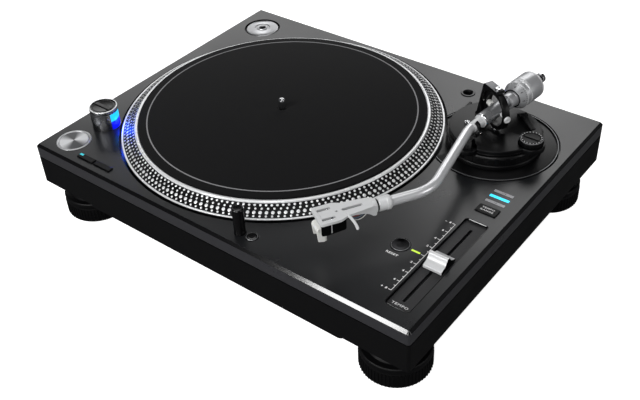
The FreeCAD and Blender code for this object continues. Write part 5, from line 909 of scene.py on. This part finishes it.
ticks = [scale_bar(0.24, -0.24, FADER[1], SCALE_HALF)]
for step in range(-8, 9):
    if step:
        ticks.append(scale_bar(2.9 if step % 2 == 0 else 1.5, 0.2, FADER[1] + SCALE_HALF * step / 8, 0.3))
ticks.append(scale_bar(3.6, 0.2, FADER[1], 0.25))
scale = moved(joined("tempo_scale", *ticks), (0, 0, DECK))
dressed(scale, white_print, "plinth")
for step in (-8, -6, -4, -2, 2, 4, 6, 8):
    y = FADER[1] + SCALE_HALF * step / 8
    side = "back" if step > 0 else "front"
    printed(f"scale_{side}_{abs(step)}", str(abs(step)), (LINE_X - 5.0, y, PRINT), 2.2, 1.15, bold=0.1)
printed("scale_minus", "-", (LINE_X - 9.2, FADER[1] + SCALE_HALF, PRINT), 2.2, 1.6, bold=0.1)
printed("scale_plus", "+", (LINE_X - 9.2, FADER[1] - SCALE_HALF, PRINT), 2.2, 1.2, bold=0.1)
printed("reset_word", "RESET", (RESET[0], RESET[1] - 13.4, PRINT), 2.3, 1.3, bold=0.08)
printed("tempo_word", "TEMPO", (FADER[0], FADER[1] - 58.8, PANEL_TOP + 0.02), 2.5, 1.3)
on_range_key = (range_x, range_y, DECK + 1.22)
printed("range_word", "TEMPO\nRANGE", on_range_key, 2.0, 1.3, body="range_button", bold=0.03)
for (x, y), text in ((windows[0], "16"), (windows[2], "8")):
    printed(f"window_number_{text}", "+" + text, (x, y, DECK + 0.14), 1.8, 1.1, finish=gloss_black)
print("scale and words printed")

# %% [markdown]
# ## Holder for a spare headshell
#
# A lined hole in the deck keeps a spare headshell upright. Its bush is a black moulding with a low
# flange, and the slot beside the hole takes the headshell's key. Two fine seams show where the deck
# meets the arm's plate.

# %% Spare headshell holder and seams in the deck
bush_outline = [
    (0, -14), (6.1, -14), (6.1, 0), (7.6, 0), (7.6, 0.4), (7.1, 0.8), (5.6, 0.8), (5.0, 0.3), (4.3, -0.4),
    (4.3, -12.8), (0, -12.8),
]
key_slot = block("key_slot", (-0.9, 3.4, -4.0), (0.9, 5.8, 1.0), 0)
bush = cut(turned("headshell_bush", bush_outline, 64, 0.12), key_slot)
moved(bush, (*centre_of("headshell_holder"), DECK), -35)
dressed(bush, key_resin, "plinth", "headshell_holder")
paint(bush, deck_enamel, lambda x, y, z: z > DECK + 0.74)
seam_ends = (((93.0, 99.6), (99.0, 115.0)), ((118.0, 34.5), (130.0, 30.4)))
for number, ((x0, y0), (x1, y1)) in enumerate(seam_ends):
    length, way = math.hypot(x1 - x0, y1 - y0), math.degrees(math.atan2(y1 - y0, x1 - x0))
    seam = block(f"deck_seam_{number}", (0, -0.2, -0.03), (length, 0.2, 0.02), 0)
    dressed(moved(seam, (x0, y0, DECK), way), key_resin, "plinth")

# %% [markdown]
# ## The tonearm's base
#
# Under the tonearm a round casting is sunk in the deck: a flat black floor, a thin satin trim ring, and a
# fixed threaded mount. Round the mount turns the fluted height ring, and on it stands the platform that
# carries the arm. All are turned shapes. The plate is then cut back where it would reach the platter, and
# the platform is a turned disc from which a wedge is taken, so the counterweight can swing down into it.

# %% Plate, trim ring and height ring
plate_outline = [
    (20.05, 79.0), (62.6, 79.0), (62.6, 84.1), (62.2, 84.4), (61.5, 84.4), (61.1, 84.1), (61.1, 82.0),
    (60.0, 82.0), (60.0, 83.2), (38.0, 82.2), (38.0, 97.6), (20.05, 97.6),
]
arm_plate = moved(turned("arm_plate", plate_outline, 160, 0.1), (*PIVOT, 0))
well_tool = turned("well_tool", [(0, 70), (168.8, 70), (168.8, 90), (0, 90)], 256, 0)
cut(arm_plate, moved(well_tool, (*PLATTER, 0)))
dressed(arm_plate, arm_black, "plinth", "arm_plate")
from_pivot = away(PIVOT)
paint(arm_plate, yoke_top_satin, lambda x, y, z: z > DECK + 0.3 and 61.4 < from_pivot(x, y) < 62.3)

ring_outline = [
    (38.05, 83.5), (46.0, 83.5), (46.8, 84.3), (46.8, 87.5), (46.2, 88.0), (46.2, 96.2), (45.4, 97.6),
    (38.05, 97.6),
]
height_ring = turned("height_ring", ring_outline, 144, 0.15)
grip_rib = slab("grip_rib", [(45.8, -3.3), (46.8, -3.0), (46.8, 3.0), (45.8, 3.3)], 89.2, 96.0, 0.25)
height_ring = moved(joined("height_ring", height_ring, ringed(grip_rib, 28)), (*PIVOT, 0))
dressed(height_ring, arm_black, "height_ring", "height_ring")
for number in range(5):
    degrees = -128 + 17 * number
    way = math.radians(degrees)
    mark_place = (PIVOT[0] + 45.2 * math.cos(way), PIVOT[1] + 45.2 * math.sin(way), 97.2)
    height_mark = block(f"height_mark_{number}", (-0.15, -1.0, 0), (0.15, 1.0, 0.04), 0)
    dressed(moved(height_mark, mark_place, degrees + 90), grey_print, "height_ring")
print(f"height ring {len(height_ring.data.polygons)} faces")

# %% Lever that locks the height
lock_angle, lock_distance = math.radians(154.4), 51.6
LOCK = (PIVOT[0] + lock_distance * math.cos(lock_angle), PIVOT[1] + lock_distance * math.sin(lock_angle))
lock_post = turned("lock_post", [(0, 0), (4, 0), (4, 9.2), (3.2, 10), (0, 10)], 48, 0.15)
lever_outline = [(0, -3.2), (16, -1.6), (17.1, -0.9), (17.4, 0), (17.1, 0.9), (16, 1.6), (0, 3.2)]
height_lock = joined("height_lock", lock_post, slab("lock_lever", lever_outline, 6, 9, 0.5, 3))
dressed(moved(height_lock, (*LOCK, 83.5), 98.4), key_resin, "height_lock", "height_lock")


# %% Platform with its lobes and ears
def round_bar(name, radius, low, high, edge=0.4, steps=64):
    """An upright bar with a rounded rim at its top."""
    outline = [(0, low), (radius, low), (radius, high - edge), (radius - edge, high), (0, high)]
    return turned(name, outline, steps, 0.1)


REST = (149.13, 39.78)
CUE_PLACE, CUE_WAY = (PIVOT[0] + 13, PIVOT[1] + 31), -40.6
platform = round_bar("platform", 44.2, 99.6, 103.4, 0.5, 128)
cut(platform, slab("wedge", [(0, 0), (53, -2.9), (53, 48.2), (-29.9, 48.2)], 99.6, 104, 0))
cut(platform, turned("pit", [(0, 100.4), (15.5, 100.4), (15.5, 105), (0, 105)], 64, 0))
disc_outline = [(0, 98.2), (43.7, 98.2), (44.2, 98.7), (44.2, 99.2), (43.8, 99.6), (0, 99.6)]
disc = turned("disc", disc_outline, 128, 0.08)
column = turned("column", [(0, 74), (20, 74), (20, 98.3), (0, 98.3)], 64, 0.3)
platform = moved(joined("arm_platform", platform, disc, column), (*PIVOT, 0))
skate_lobe = moved(round_bar("skate_lobe", 13.1, 98.2, 103.4, 0.5, 96), (*SKATE, 0))
rest_lobe = moved(round_bar("rest_lobe", 9.2, 98.2, 103.4, 0.5, 72), (*REST, 0))
platform = joined("arm_platform", platform, skate_lobe, rest_lobe)
for middle in (-4.1, 4.1):
    ear = block("cue_ear", (-2.6, middle - 0.8, 99.1), (2.6, middle + 0.8, 104.6), 0.4)
    platform = joined("arm_platform", platform, moved(ear, (*CUE_PLACE, 0), CUE_WAY))
dressed(platform, arm_black, "arm_base", "arm_base")
print(f"platform {len(platform.data.polygons)} faces")

# %% [markdown]
# ## Yoke, gimbal and pivots
#
# The arm hangs in a gimbal, as a ship's compass does: an upright ring that swings about a vertical line
# between two pivots, and a level pair of pivots in the ring that let the arm rise. The upper pivot sits
# at the end of a tall bracket, the yoke, that reaches over the ring from the platter's side. The yoke is
# a plate drawn from the side with an arch cut out of it, and then a heavy bevel.


# %% Yoke and its pivots
def upright_plate(piece, at=(0, 0, 0), turn=0.0):
    """Stands a piece drawn in XY up, so that its Y becomes height, and puts it in place."""
    moved(piece, tilt=(90, "X"))
    return moved(piece, at, turn)


yoke_side = [
    (15.66, -18.3), (28.0, -18.3), (28.0, -16.3), (26.0, -14.3), (18.0, 20.7), (16.5, 22.2), (-3.0, 22.2),
    (-5.0, 21.0), (-5.0, 14.4), (10.3, 10.3),
]
yoke = slab("yoke", yoke_side, -4.7, 4.7, 0)
cut(yoke, turned("arch", [(0, -6), (20.6, -6), (20.6, 6), (0, 6)], 128, 0))
upright_plate(softened(yoke, 0.5, 3, 0.6), PIVOT_POINT, 154)
dressed(yoke, arm_black, "arm_base", "yoke")
paint(yoke, yoke_top_satin, lambda x, y, z: z > ARM_AXIS + 22.05)
upper_outline = [
    (0, 19.35), (1.5, 19.35), (1.5, 22.2), (3.4, 22.2), (3.4, 23.3), (2.6, 24.0), (1.4, 24.0),
    (1.0, 23.4), (0, 23.4),
]
lower_outline = [(0, -21.3), (3.4, -21.3), (3.4, -20.3), (1.5, -19.35), (0, -19.35)]
pivot_slot = block("pivot_slot", (-0.4, -4, 23.3), (0.4, 4, 25), 0)
upper = cut(turned("upper_pivot", upper_outline, 48, 0.08), pivot_slot)
pivots = moved(joined("upright_pivots", upper, turned("lower_pivot", lower_outline, 48, 0.08)), PIVOT_POINT)
dressed(pivots, bright_chrome, "arm_base", "yoke_pivots")

# %% Gimbal ring and level pivots
ARM_WAY, GIMBAL_WAY = -96.0, -31.5
gimbal_outline = [
    (15.4, -2.9), (15.7, -3.2), (19.0, -3.2), (19.3, -2.9), (19.3, 2.9), (19.0, 3.2), (15.7, 3.2),
    (15.4, 2.9),
]
gimbal = upright_plate(turned("gimbal_ring", gimbal_outline, 128, 0.08), PIVOT_POINT, GIMBAL_WAY)
dressed(gimbal, arm_black, "gimbal", "gimbal_ring")


def along_arm(piece, way=ARM_WAY, at=PIVOT):
    """Lays a turned piece so that its axis points along the arm, by default from the arm's pivot."""
    return moved(piece, (*at, ARM_AXIS), way, (90, "Y"))


def level_pivot(name, head, length, stub, way, finish, *stands_for):
    """A headed pivot screw through the ring, along a level direction in degrees."""
    outline = [
        (0, 7.55), (0.9, 7.55), (1.5, 8.55), (stub, 8.9), (stub, 15.1), (1.5, 15.2), (1.5, 19.3),
        (head, 19.3), (head, 19.3 + length * 0.6), (head - 0.7, 19.3 + length),
        (head * 0.5, 19.3 + length), (head * 0.36, 19.0 + length), (0, 19.0 + length),
    ]
    dressed(along_arm(turned(name, outline, 48, 0.06), way), finish, "gimbal", *stands_for)


level_pivot("near_pivot", 3.4, 1.8, 1.9, GIMBAL_WAY, silver_paint, "gimbal_pivots")
level_pivot("far_pivot", 2.89, 1.0, 2.9, GIMBAL_WAY + 180, guard_plastic)
print(f"yoke {len(yoke.data.polygons)} faces")

# %% [markdown]
# ## Anti-skate dial, cueing lever and lifter
#
# On the platform to the right stands the dial that sets the anti-skating force, with a light dotted rim
# round a black face. Behind it is the flat cueing lever on its hub, which raises a curved chromed rail
# under the arm.

# %% Anti-skate dial
SKATE_PLACE = (*SKATE, 103.7)
dial_outline = [(0, 0), (10.7, 0), (11.5, 0.8), (11.5, 4.6), (10.6, 5.6), (8.5, 5.8), (7.9, 5.2), (0, 5.2)]
dial = turned("skate_dial", dial_outline, 96, 0.12)
dial_grip = block("dial_grip", (-7.5, -1.2, 5.1), (7.5, 1.2, 6.1), 0.4, 3)
knurl = slab("knurl", [(11.2, -0.35), (11.62, -0.12), (11.62, 0.12), (11.2, 0.35)], 1.0, 4.3, 0)
dial = moved(joined("skate_dial", dial, dial_grip, ringed(knurl, 60)), SKATE_PLACE)
dressed(dial, key_resin, "anti_skate_knob", "anti_skate_knob")
dot_corners = [(0.42 * math.cos(a * math.pi / 4), 0.42 * math.sin(a * math.pi / 4)) for a in range(8)]
dot = moved(slab("skate_dots", dot_corners, 0, 0.06, 0), (9.5, 0, 5.72))
dressed(moved(ringed(dot, 20), SKATE_PLACE), white_print, "anti_skate_knob")
line_outline = [(10.55, 5.5), (10.95, 5.18), (11.0, 5.26), (10.6, 5.6)]
turned_piece("skate_rim_line", line_outline, 96, 0, SKATE_PLACE, grey_print, "anti_skate_knob")

# %% Cueing lever and lifter
hub = upright_plate(turned("cue_hub", [(0, -3), (2.6, -3), (2.6, 3), (0, 3)], 48, 0.25))
blade_side = [
    (0, -2.0), (23.5, -1.1), (26.6, 0.1), (27.5, 0.8), (27.1, 2.0), (22.5, 1.6), (12.0, 1.9), (0, 2.6),
]
blade = upright_plate(slab("cue_blade", blade_side, -2.6, 2.6, 0.5, 3))
cue = moved(joined("cue_lever", hub, blade), (*CUE_PLACE, 102.5), CUE_WAY)
dressed(cue, gloss_black, "cue_lever", "cue_lever")



def ball(name, radius, step, steps):
    """A ball whose outline has a corner every so many degrees."""
    angles = [math.radians(a) for a in range(0, 181, step)]
    return turned(name, [(radius * math.sin(a), radius * math.cos(a)) for a in angles], steps, 0)


RAIL_REACH, RAIL_RADIUS, RAIL_START, RAIL_SWEEP = 27.6, 1.5, -140, 52
SLEEVE_RADIUS, LIFT_GAP, LIFT = 5.35, 0.45, 4.6
RAIL_Z = ARM_AXIS - SLEEVE_RADIUS - LIFT_GAP - LIFT - RAIL_RADIUS
rail = filled("lifter_rail", 24, RAIL_RADIUS)
edit_all()
bpy.ops.transform.rotate(value=math.radians(90), orient_axis="X", center_override=(0, 0, 0))
bpy.ops.transform.translate(value=(RAIL_REACH * MM, 0, 0))
bpy.ops.mesh.spin(steps=24, angle=-math.radians(RAIL_SWEEP), center=(0, 0, 0), axis=(0, 0, 1))
moved(tidy_mesh(rail, 50), turn=RAIL_START)
post_angle = math.radians(RAIL_START)
post_place = (RAIL_REACH * math.cos(post_angle), RAIL_REACH * math.sin(post_angle))
post_floor = 99.5 - RAIL_Z
post_outline = [(0, post_floor), (2.4, post_floor), (2.4, 0.4), (0, 0.4)]
post = moved(turned("post", post_outline, 40, 0.2), (*post_place, 0))
post_ball = moved(ball("post_ball", 2.8, 15, 40), (*post_place, -1.6))
lifter = moved(joined("arm_lifter", rail, post, post_ball), (*PIVOT, RAIL_Z))
dressed(lifter, bright_chrome, "arm_lifter", "arm_lifter")
print(f"lifter {len(lifter.data.polygons)} faces")

# %% [markdown]
# ## The tonearm's sleeve and tube
#
# The arm starts as a machined sleeve that passes through the gimbal and ends in front in a polished ring
# and a nose. Behind, it goes on as a chromed shaft for the counterweight. In front it holds the S-shaped
# tube. The sleeve is turned. The tube is drawn the way a pipe bender makes it: a ring is pushed along
# straight, spun round a bend's centre, pushed on, and spun back the other way.


# %% Sleeve and rear shaft
def in_front(place, degrees):
    """A function that says how far a point lies in front of a place, along a way in plan, in mm."""
    way = Vector((math.cos(math.radians(degrees)), math.sin(math.radians(degrees))))
    return lambda x, y: (x - place[0]) * way.x + (y - place[1]) * way.y


along = in_front(PIVOT, ARM_WAY)
sleeve_outline = [
    (0, -77.3), (4.2, -77.3), (5.0, -76.5), (5.0, -73.3), (4.2, -73.1), (4.2, -70.5), (5.0, -70.3),
    (5.0, -7.3), (6.6, -7.2), (6.9, -6.4), (6.9, 23.8), (7.2, 24.1), (7.2, 25.5), (6.7, 25.9),
    (5.4, 26.4), (4.95, 27.0), (4.95, 40.4), (4.7, 40.8), (0, 40.8),
]
boss = moved(block("cross_boss", (-7.5, -3.2, -3.2), (7.5, 3.2, 3.2), 0.5, 3), PIVOT_POINT, GIMBAL_WAY)
sleeve = joined("arm_sleeve", along_arm(turned("arm_sleeve", sleeve_outline, 72, 0.12)), boss)
dressed(sleeve, sleeve_satin, "tonearm", "arm_sleeve")
paint(sleeve, bright_chrome, lambda x, y, z: 23.9 < along(x, y) < 25.95 or along(x, y) < -7.25)
paint(sleeve, silver_paint, lambda x, y, z: along(x, y) > 25.95)
paint(sleeve, gloss_black, lambda x, y, z: -73.05 < along(x, y) < -70.55)


# %% Tube with two bends
def bent_tube(name, radius, start, runs, vertices=40, steps=14):
    """A round tube drawn along X from a start, by straight runs in mm and (angle, bend radius) turns."""
    piece = filled(name, vertices, radius)
    edit_all()
    bpy.ops.transform.rotate(value=math.radians(90), orient_axis="Y", center_override=(0, 0, 0))
    place, way = Vector((start, 0, 0)), 0.0
    bpy.ops.transform.translate(value=place * MM)
    for run in runs:
        forward = Vector((math.cos(way), math.sin(way), 0))
        if isinstance(run, tuple):
            turn, bend = math.radians(run[0]), run[1]
            left = Vector((-forward.y, forward.x, 0)) * math.copysign(1, turn)
            centre = place + left * bend
            bpy.ops.mesh.spin(steps=steps, angle=-turn, center=centre * MM, axis=(0, 0, 1))
            place = centre + Matrix.Rotation(turn, 3, "Z") @ (place - centre)
            way += turn
        else:
            drawn_out(forward * run)
            place = place + forward * run
    return tidy_mesh(piece, 50)


tube = bent_tube("arm_tube", 4.65, 29.3, [9.05, (18, 42), 74.39, (-43.5, 40), 27.04])
dressed(moved(tube, PIVOT_POINT, ARM_WAY), tube_silver, "tonearm", "arm_tube")
low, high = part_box("arm_tube")
own = [max(v.co[i] for v in tube.data.vertices) - high[i] for i in range(3)]
print("tube ends beside its CAD twin by", [round(gap / MM, 2) for gap in own], "mm")

# %% [markdown]
# ## Counterweight and force dial
#
# The weight is a satin drum with two narrow grooves and a polished band at each end. It turns on a core
# that slides along the rear shaft. The dial before it is a separate cone with ticks and numbers printed
# round it, so it can be set to zero by itself.

# %% Weight, core and dial
core_outline = [
    (5.05, -60.6), (8.0, -60.6), (8.0, -27.0), (7.4, -26.8), (7.4, -24.6), (7.0, -24.4), (7.0, -24.0),
    (7.4, -23.8), (7.4, -16.0), (7.0, -15.6), (5.05, -15.6),
]
core = along_arm(turned("weight_core", core_outline, 72, 0.12))
dressed(core, weight_satin, "weight_core", "weight_core")
weight_outline = [
    (8.05, -60.9), (12.6, -60.6), (13.9, -59.5), (14.0, -58.2), (13.7, -57.9), (13.7, -57.5), (14.0, -57.2),
    (14.0, -41.6), (13.7, -41.3), (13.7, -40.9), (14.0, -40.6), (14.0, -38.6), (13.3, -38.2), (13.3, -34.0),
    (8.05, -34.0),
]
weight = along_arm(turned("counterweight", weight_outline, 128, 0.1))
dressed(weight, weight_satin, "counterweight", "counterweight")
paint(weight, silver_paint, lambda x, y, z: -40.9 < along(x, y) < -38.4 or along(x, y) < -57.8)
CONE_FRONT, CONE_BACK = (9.4, -25.6), (13.7, -32.4)
dial_outline = [
    (8.05, -33.8), (13.9, -33.8), (14.0, -33.0), CONE_BACK, CONE_FRONT, (8.7, -25.2), (8.05, -25.6),
]
dial_ring = along_arm(turned("force_dial", dial_outline, 128, 0.1))
dressed(dial_ring, weight_satin, "force_dial", "force_dial")
paint(dial_ring, silver_paint, lambda x, y, z: along(x, y) < -32.6)
# The front face of the dial round its bore is painted black: painted shade on a face turned away from the
# light.
paint(dial_ring, gloss_black, lambda x, y, z: math.dist((x, y, z), PIVOT_POINT) < 27)


def round_the_dial(piece, angle, middle):
    """Lays a flat print on the dial's cone, at a distance behind the pivot, its X running round the arm."""
    lean = math.atan2(CONE_BACK[0] - CONE_FRONT[0], CONE_FRONT[1] - CONE_BACK[1])
    radius = CONE_FRONT[0] + (CONE_FRONT[1] + middle) * math.tan(lean)
    moved(piece, (0, -middle, radius + 0.03), 0, (-math.degrees(lean), "X"))
    moved(piece, tilt=(angle, "Y"))
    return moved(piece, PIVOT_POINT, ARM_WAY - 90)


ticks = []
for number in range(40):
    tick = block("tick", (-0.14, -1.1 if number % 5 else -1.8, -0.03), (0.14, 0, 0.02), 0)
    ticks.append(round_the_dial(tick, number * 9, 31.0))
dressed(joined("dial_ticks", *ticks), gloss_black, "force_dial")
digits = [round_the_dial(lettering("digit", str(n % 4), 3.4, 0.04), n * 45, 28.9) for n in range(8)]
dressed(joined("dial_numbers", *digits), gloss_black, "force_dial")
print(f"counterweight {len(weight.data.polygons)} faces")

# %% [markdown]
# ## Headshell, cartridge and stylus
#
# The headshell is a small die-casting under silver paint: a plate that widens to a square end, with two
# slots for the cartridge's screws, a long slot in its neck, and a bent finger lift at its side. The plate
# is one outline from above, cut and then bevelled. The cartridge hangs under it, black and boxy, with a
# white stylus guard in front, and four thin coloured leads loop from the shell to its pins.

# %% Headshell
HEAD_WAY, HEAD = -121.5, (168.77, -55.12, ARM_AXIS)


def on_head(piece):
    """Places a piece drawn with X along the headshell and Z above the tube's middle."""
    return moved(piece, HEAD, HEAD_WAY)


collar_outline = [
    (4.7, 38.8), (5.6, 38.8), (5.9, 39.8), (6.6, 40.2), (6.6, 43.2), (6.2, 43.5), (6.2, 50.2), (5.6, 50.8),
    (4.7, 50.8),
]
collar = along_arm(turned("collar_nut", collar_outline, 72, 0.12), HEAD_WAY, HEAD[:2])
dressed(collar, silver_paint, "collar_nut", "collar_nut")

shell_side = [
    (53.2, 3.74), (58.6, 6.8), (81.4, 9.2), (84.6, 10.8), (88.0, 12.2), (104.0, 12.2), (105.7, 11.5),
    (106.4, 9.8),
]
shell = slab("headshell", [(x, -y) for x, y in shell_side] + shell_side[::-1], 2.8, 5.2, 0)
SCREW_SIDE = 6.35
shell_slots = ((12.4, 2.9, (96.9, -SCREW_SIDE)), (12.4, 2.9, (96.9, SCREW_SIDE)), (19, 3.0, (73.6, 0)))
for length, width, middle in shell_slots:
    cut(shell, slab("slot_tool", rounded_outline(length, width, 1.4, 4, middle), 2, 6, 0))
cut(shell, moved(turned("hole_tool", [(0, 2), (1.1, 2), (1.1, 6), (0, 6)], 24, 0), (87.8, 0, 0)))
cut(shell, block("front_line_tool", (102.2, -9.2, 4.9), (102.9, 9.2, 6), 0))
softened(shell, 0.35, 2, 0.7)
plug_outline = [
    (0, 44.6), (3.2, 44.6), (3.2, 51.0), (5.4, 51.0), (5.4, 52.6), (6.2, 52.6), (6.2, 55.2), (4.0, 56.2),
    (3.0, 61.6), (0, 61.6),
]
plug = moved(turned("plug", plug_outline, 64, 0.15), tilt=(90, "Y"))
skirt_side = [
    (53.6, 4.8), (53.6, -5.0), (54.6, -6.0), (57.0, -5.6), (60.5, -2.6), (65.0, -0.6), (74.0, 0.8),
    (80.4, 2.6), (80.4, 4.8),
]
skirts = [upright_plate(slab("skirt", skirt_side, -0.8, 0.8, 0.3), (0, y, 0)) for y in (-5.5, 5.5)]

LIFT_CENTRE, LIFT_BEND, LIFT_RADIUS, LIFT_START, LIFT_END = (127.1, 18.9), 48, 1.3, 196.5, 171


def on_lift(degrees):
    """A point of the finger lift's arc."""
    way = math.radians(degrees)
    return (LIFT_CENTRE[0] + LIFT_BEND * math.cos(way), LIFT_CENTRE[1] + LIFT_BEND * math.sin(way), 4.2)


lift = bent_tube("finger_lift", LIFT_RADIUS, 0, [(LIFT_END - LIFT_START, LIFT_BEND)], 20, 16)
moved(lift, on_lift(LIFT_START), LIFT_START - 90)
tip = moved(ball("tip", LIFT_RADIUS, 20, 20), on_lift(LIFT_END))
shell = on_head(joined("headshell", shell, plug, *skirts, lift, tip))
dressed(shell, silver_paint, "tonearm", "headshell")
from_head = in_front(HEAD, HEAD_WAY)
# The narrow neck between the collar and the shell is painted black: painted shade in the gap.
paint(shell, gloss_black, lambda x, y, z: 50.6 < from_head(x, y) < 52.5)

screws = []
for side in (-1, 1):
    screw = turned("screw", [(0, 3.6), (1.35, 3.6), (1.35, 4.6), (1.1, 4.8), (0, 4.8)], 32, 0.1)
    cut(screw, block("slot_tool", (-0.2, -3, 4.5), (0.2, 3, 6), 0))
    screws.append(moved(screw, (93.6, SCREW_SIDE * side, 0), 30 * side))
dressed(on_head(joined("shell_screws", *screws)), bright_chrome, "tonearm")
print(f"headshell {len(shell.data.polygons)} faces")

# %% Cartridge, stylus guard and leads
LEAD_COLOURS = ("#4d7a4f", "#a33a34", "#5d6f86", "#d6d6d2")
LEAD_SIDES = [-3.9 + 2.6 * number for number in range(4)]
body_side = [(81.5, 2.8), (81.5, -10.4), (83, -11.6), (98, -13), (103, -12.2), (104, -11), (104, 2.8)]
cartridge_parts = [
    upright_plate(slab("cartridge", body_side, -6.7, 6.7, 0.5, 3)),
    block("flange", (88.5, -8.3, -0.4), (101.5, 8.3, 2.8), 0.4),
]
for y in LEAD_SIDES:
    pin = turned("pin", [(0, 78.2), (0.4, 78.2), (0.4, 83), (0, 83)], 12, 0.05)
    cartridge_parts.append(moved(pin, (0, y, -2.8), tilt=(90, "Y")))
cartridge = on_head(joined("cartridge", *cartridge_parts))
dressed(cartridge, key_resin, "tonearm", "cartridge")
# A black sheet under the slot in the neck: painted shade seen through the slot.
slot_shade_sheet = block("terminal_slot_shade_sheet", (62.5, -2.6, 2.0), (84.5, 2.6, 2.85), 0.1)
dressed(on_head(slot_shade_sheet), key_resin, "tonearm")
strips = [block("strip", (94.4, y - 0.08, -11.0), (95.2, y + 0.08, 2.2), 0) for y in (-6.65, 6.65)]
dressed(on_head(joined("cartridge_strips", *strips)), silver_paint, "tonearm")

guard_side = [
    (104.02, -2.5), (107.0, -3.5), (108.2, -6.0), (107.0, -17.0), (102.0, -18.4), (99.6, -17.2),
    (99.6, -13.02), (103.1, -13.02), (104.02, -10.0),
]
bridge_side = [(104.02, -2.6), (107.0, -3.6), (107.8, -6.6), (106.0, -7.6), (104.02, -6.4)]
bar_side = [(99.6, -13.02), (99.6, -17.6), (101.2, -17.8), (101.2, -13.02)]
needle_side = [
    (94.3, -13.02), (95.3, -13.02), (101.9, -18.6), (102.6, -23.1), (101.4, -19.4), (94.3, -14.0),
]
guard_parts = [
    upright_plate(slab("guard", side, -half, half, edge), (0, y, 0))
    for side, half, edge, y in (
        (guard_side, 0.8, 0.3, -5.8), (guard_side, 0.8, 0.3, 5.8), (bridge_side, 6.6, 0.2, 0),
        (bar_side, 6.6, 0.2, 0), (needle_side, 0.4, 0.05, 0),
    )
]
dressed(on_head(joined("stylus_guard", *guard_parts)), guard_plastic, "tonearm", "stylus")

for number, (colour, y) in enumerate(zip(LEAD_COLOURS, LEAD_SIDES)):
    insulation = finish(f"lead_insulation_{number}", colour, 0.4, (0.5, 0.01))
    lead = bent_tube(f"cartridge_lead_{number}", 0.38, 0, [1.0, (-40, 3.0), 2.5, (85, 7.5), 3.0], 10, 8)
    dressed(on_head(upright_plate(lead, (79.4, y, -2.8), 180)), insulation, "tonearm")
print(f"cartridge {len(cartridge.data.polygons)} faces")

# %% [markdown]
# ## Arm rest and its clip
#
# Beside the platform's edge the arm rests in a low cradle, held by a curved clip that swings over it.
# The clip is shown open. The cradle is a side profile with a round seat cut into it; the clip is a ring
# with a mouth left open, and an eye on the pin.

# %% Rest and clip
REST_WAY, REST_POINT = -87.0, (*REST, ARM_AXIS)
CLIP_CENTRE, HINGE = (3.9, 5.01, 0), (8.0, -2.2, 0)
cradle_side = [
    (-4.2, -18.3), (5.4, -18.3), (5.4, -8.2), (6.0, -4.8), (6.0, -2.2), (-7.0, -6.4), (-7.4, -7.6),
    (-4.2, -10.6),
]
cradle = slab("arm_rest", cradle_side, -3.5, 3.5, 0)
cut(cradle, turned("seat_tool", [(0, -5), (5.4, -5), (5.4, 5), (0, 5)], 96, 0))
cut(cradle, moved(turned("eye_tool", [(0, -5), (2.6, -5), (2.6, 5), (0, 5)], 48, 0), HINGE))
softened(cradle, 0.3, 2, 0.7)
cheek_side = [(4.4, -8.0), (9.6, -3.4), (8.6, -0.6), (6.4, -0.8), (4.6, -4.2), (3.0, -8.0)]
cheeks = [slab("cheek", cheek_side, low, low + 1.2, 0.2) for low in (-3.5, 2.3)]
pin = moved(turned("pin", [(0, -3.5), (1.0, -3.5), (1.0, 3.5), (0, 3.5)], 24, 0.1), HINGE)
rest = moved(stood_up(joined("arm_rest", cradle, *cheeks, pin)), REST_POINT, REST_WAY)
dressed(rest, gloss_black, "arm_base", "rest_post")

hook = part_turned("clip_hook", [(5.4, -2), (7.6, -2), (7.6, 2), (5.4, 2)], -59, 126, 32)
moved(softened(hook, 0.35, 2, 0.7), CLIP_CENTRE)
eye = moved(turned("clip_eye", [(1.05, -2), (2.3, -2), (2.3, 2), (1.05, 2)], 40, 0.2), HINGE)
clip = moved(stood_up(joined("rest_clip", hook, eye)), REST_POINT, REST_WAY)
dressed(clip, gloss_black, "rest_clip", "rest_clip")
print(f"rest {len(rest.data.polygons)} faces, clip {len(clip.data.polygons)} faces")

# %% [markdown]
# ## Finishes for the CAD nodes that stay
#
# Where a CAD node's own shape is right, it keeps its mesh and only gets its finish. Three of them make up
# the plinth. The rest are deep inside or behind and show only through a hole or when the part is taken
# apart, but each is still painted as the real piece is: a ferrite magnet, copper windings, a green board,
# a brass bearing.

# %% Finishes on kept nodes
ferrite = finish("sintered_ferrite", "#2b2b2d", 0.6, (0.6, 0.02))
board_green = finish("green_solder_mask", "#1d5a34", 0.35, (1.5, 0.01))
turned_brass = finish("turned_brass", "#b08d45", 0.3, wear=(0.25, 0.38, 8), Metallic=1.0)
enamelled_copper = finish("enamelled_copper_wire", "#8a4a26", 0.35, (0.5, 0.05), Metallic=0.8)
kept = {
    "deck_panel": deck_enamel,
    "chassis": body_resin,
    "bottom_cover": body_resin,
    "foot_studs": under_steel,
    "platter_damper": foot_rubber,
    "rotor_magnet": ferrite,
    "spindle_bearing": turned_brass,
    "motor_stator": enamelled_copper,
    "tempo_potentiometer": under_steel,
    "switch_boards": board_green,
    "power_supply": board_green,
    "mains_inlet": key_resin,
    "rear_terminals": bright_chrome,
    "ground_nut": turned_aluminium,
}
for name, kept_finish in kept.items():
    nodes[name].data.materials.clear()
    nodes[name].data.materials.append(kept_finish)
print(f"{len(kept)} nodes keep their CAD shape")

# %% [markdown]
# ## The size of the visual model
#
# The box round every visible object is printed. The visual model must be no larger than
# the CAD model.

# %% Size of the visual model
low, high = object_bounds()
print("visual box", [round(v, 4) for v in low], [round(v, 4) for v in high])
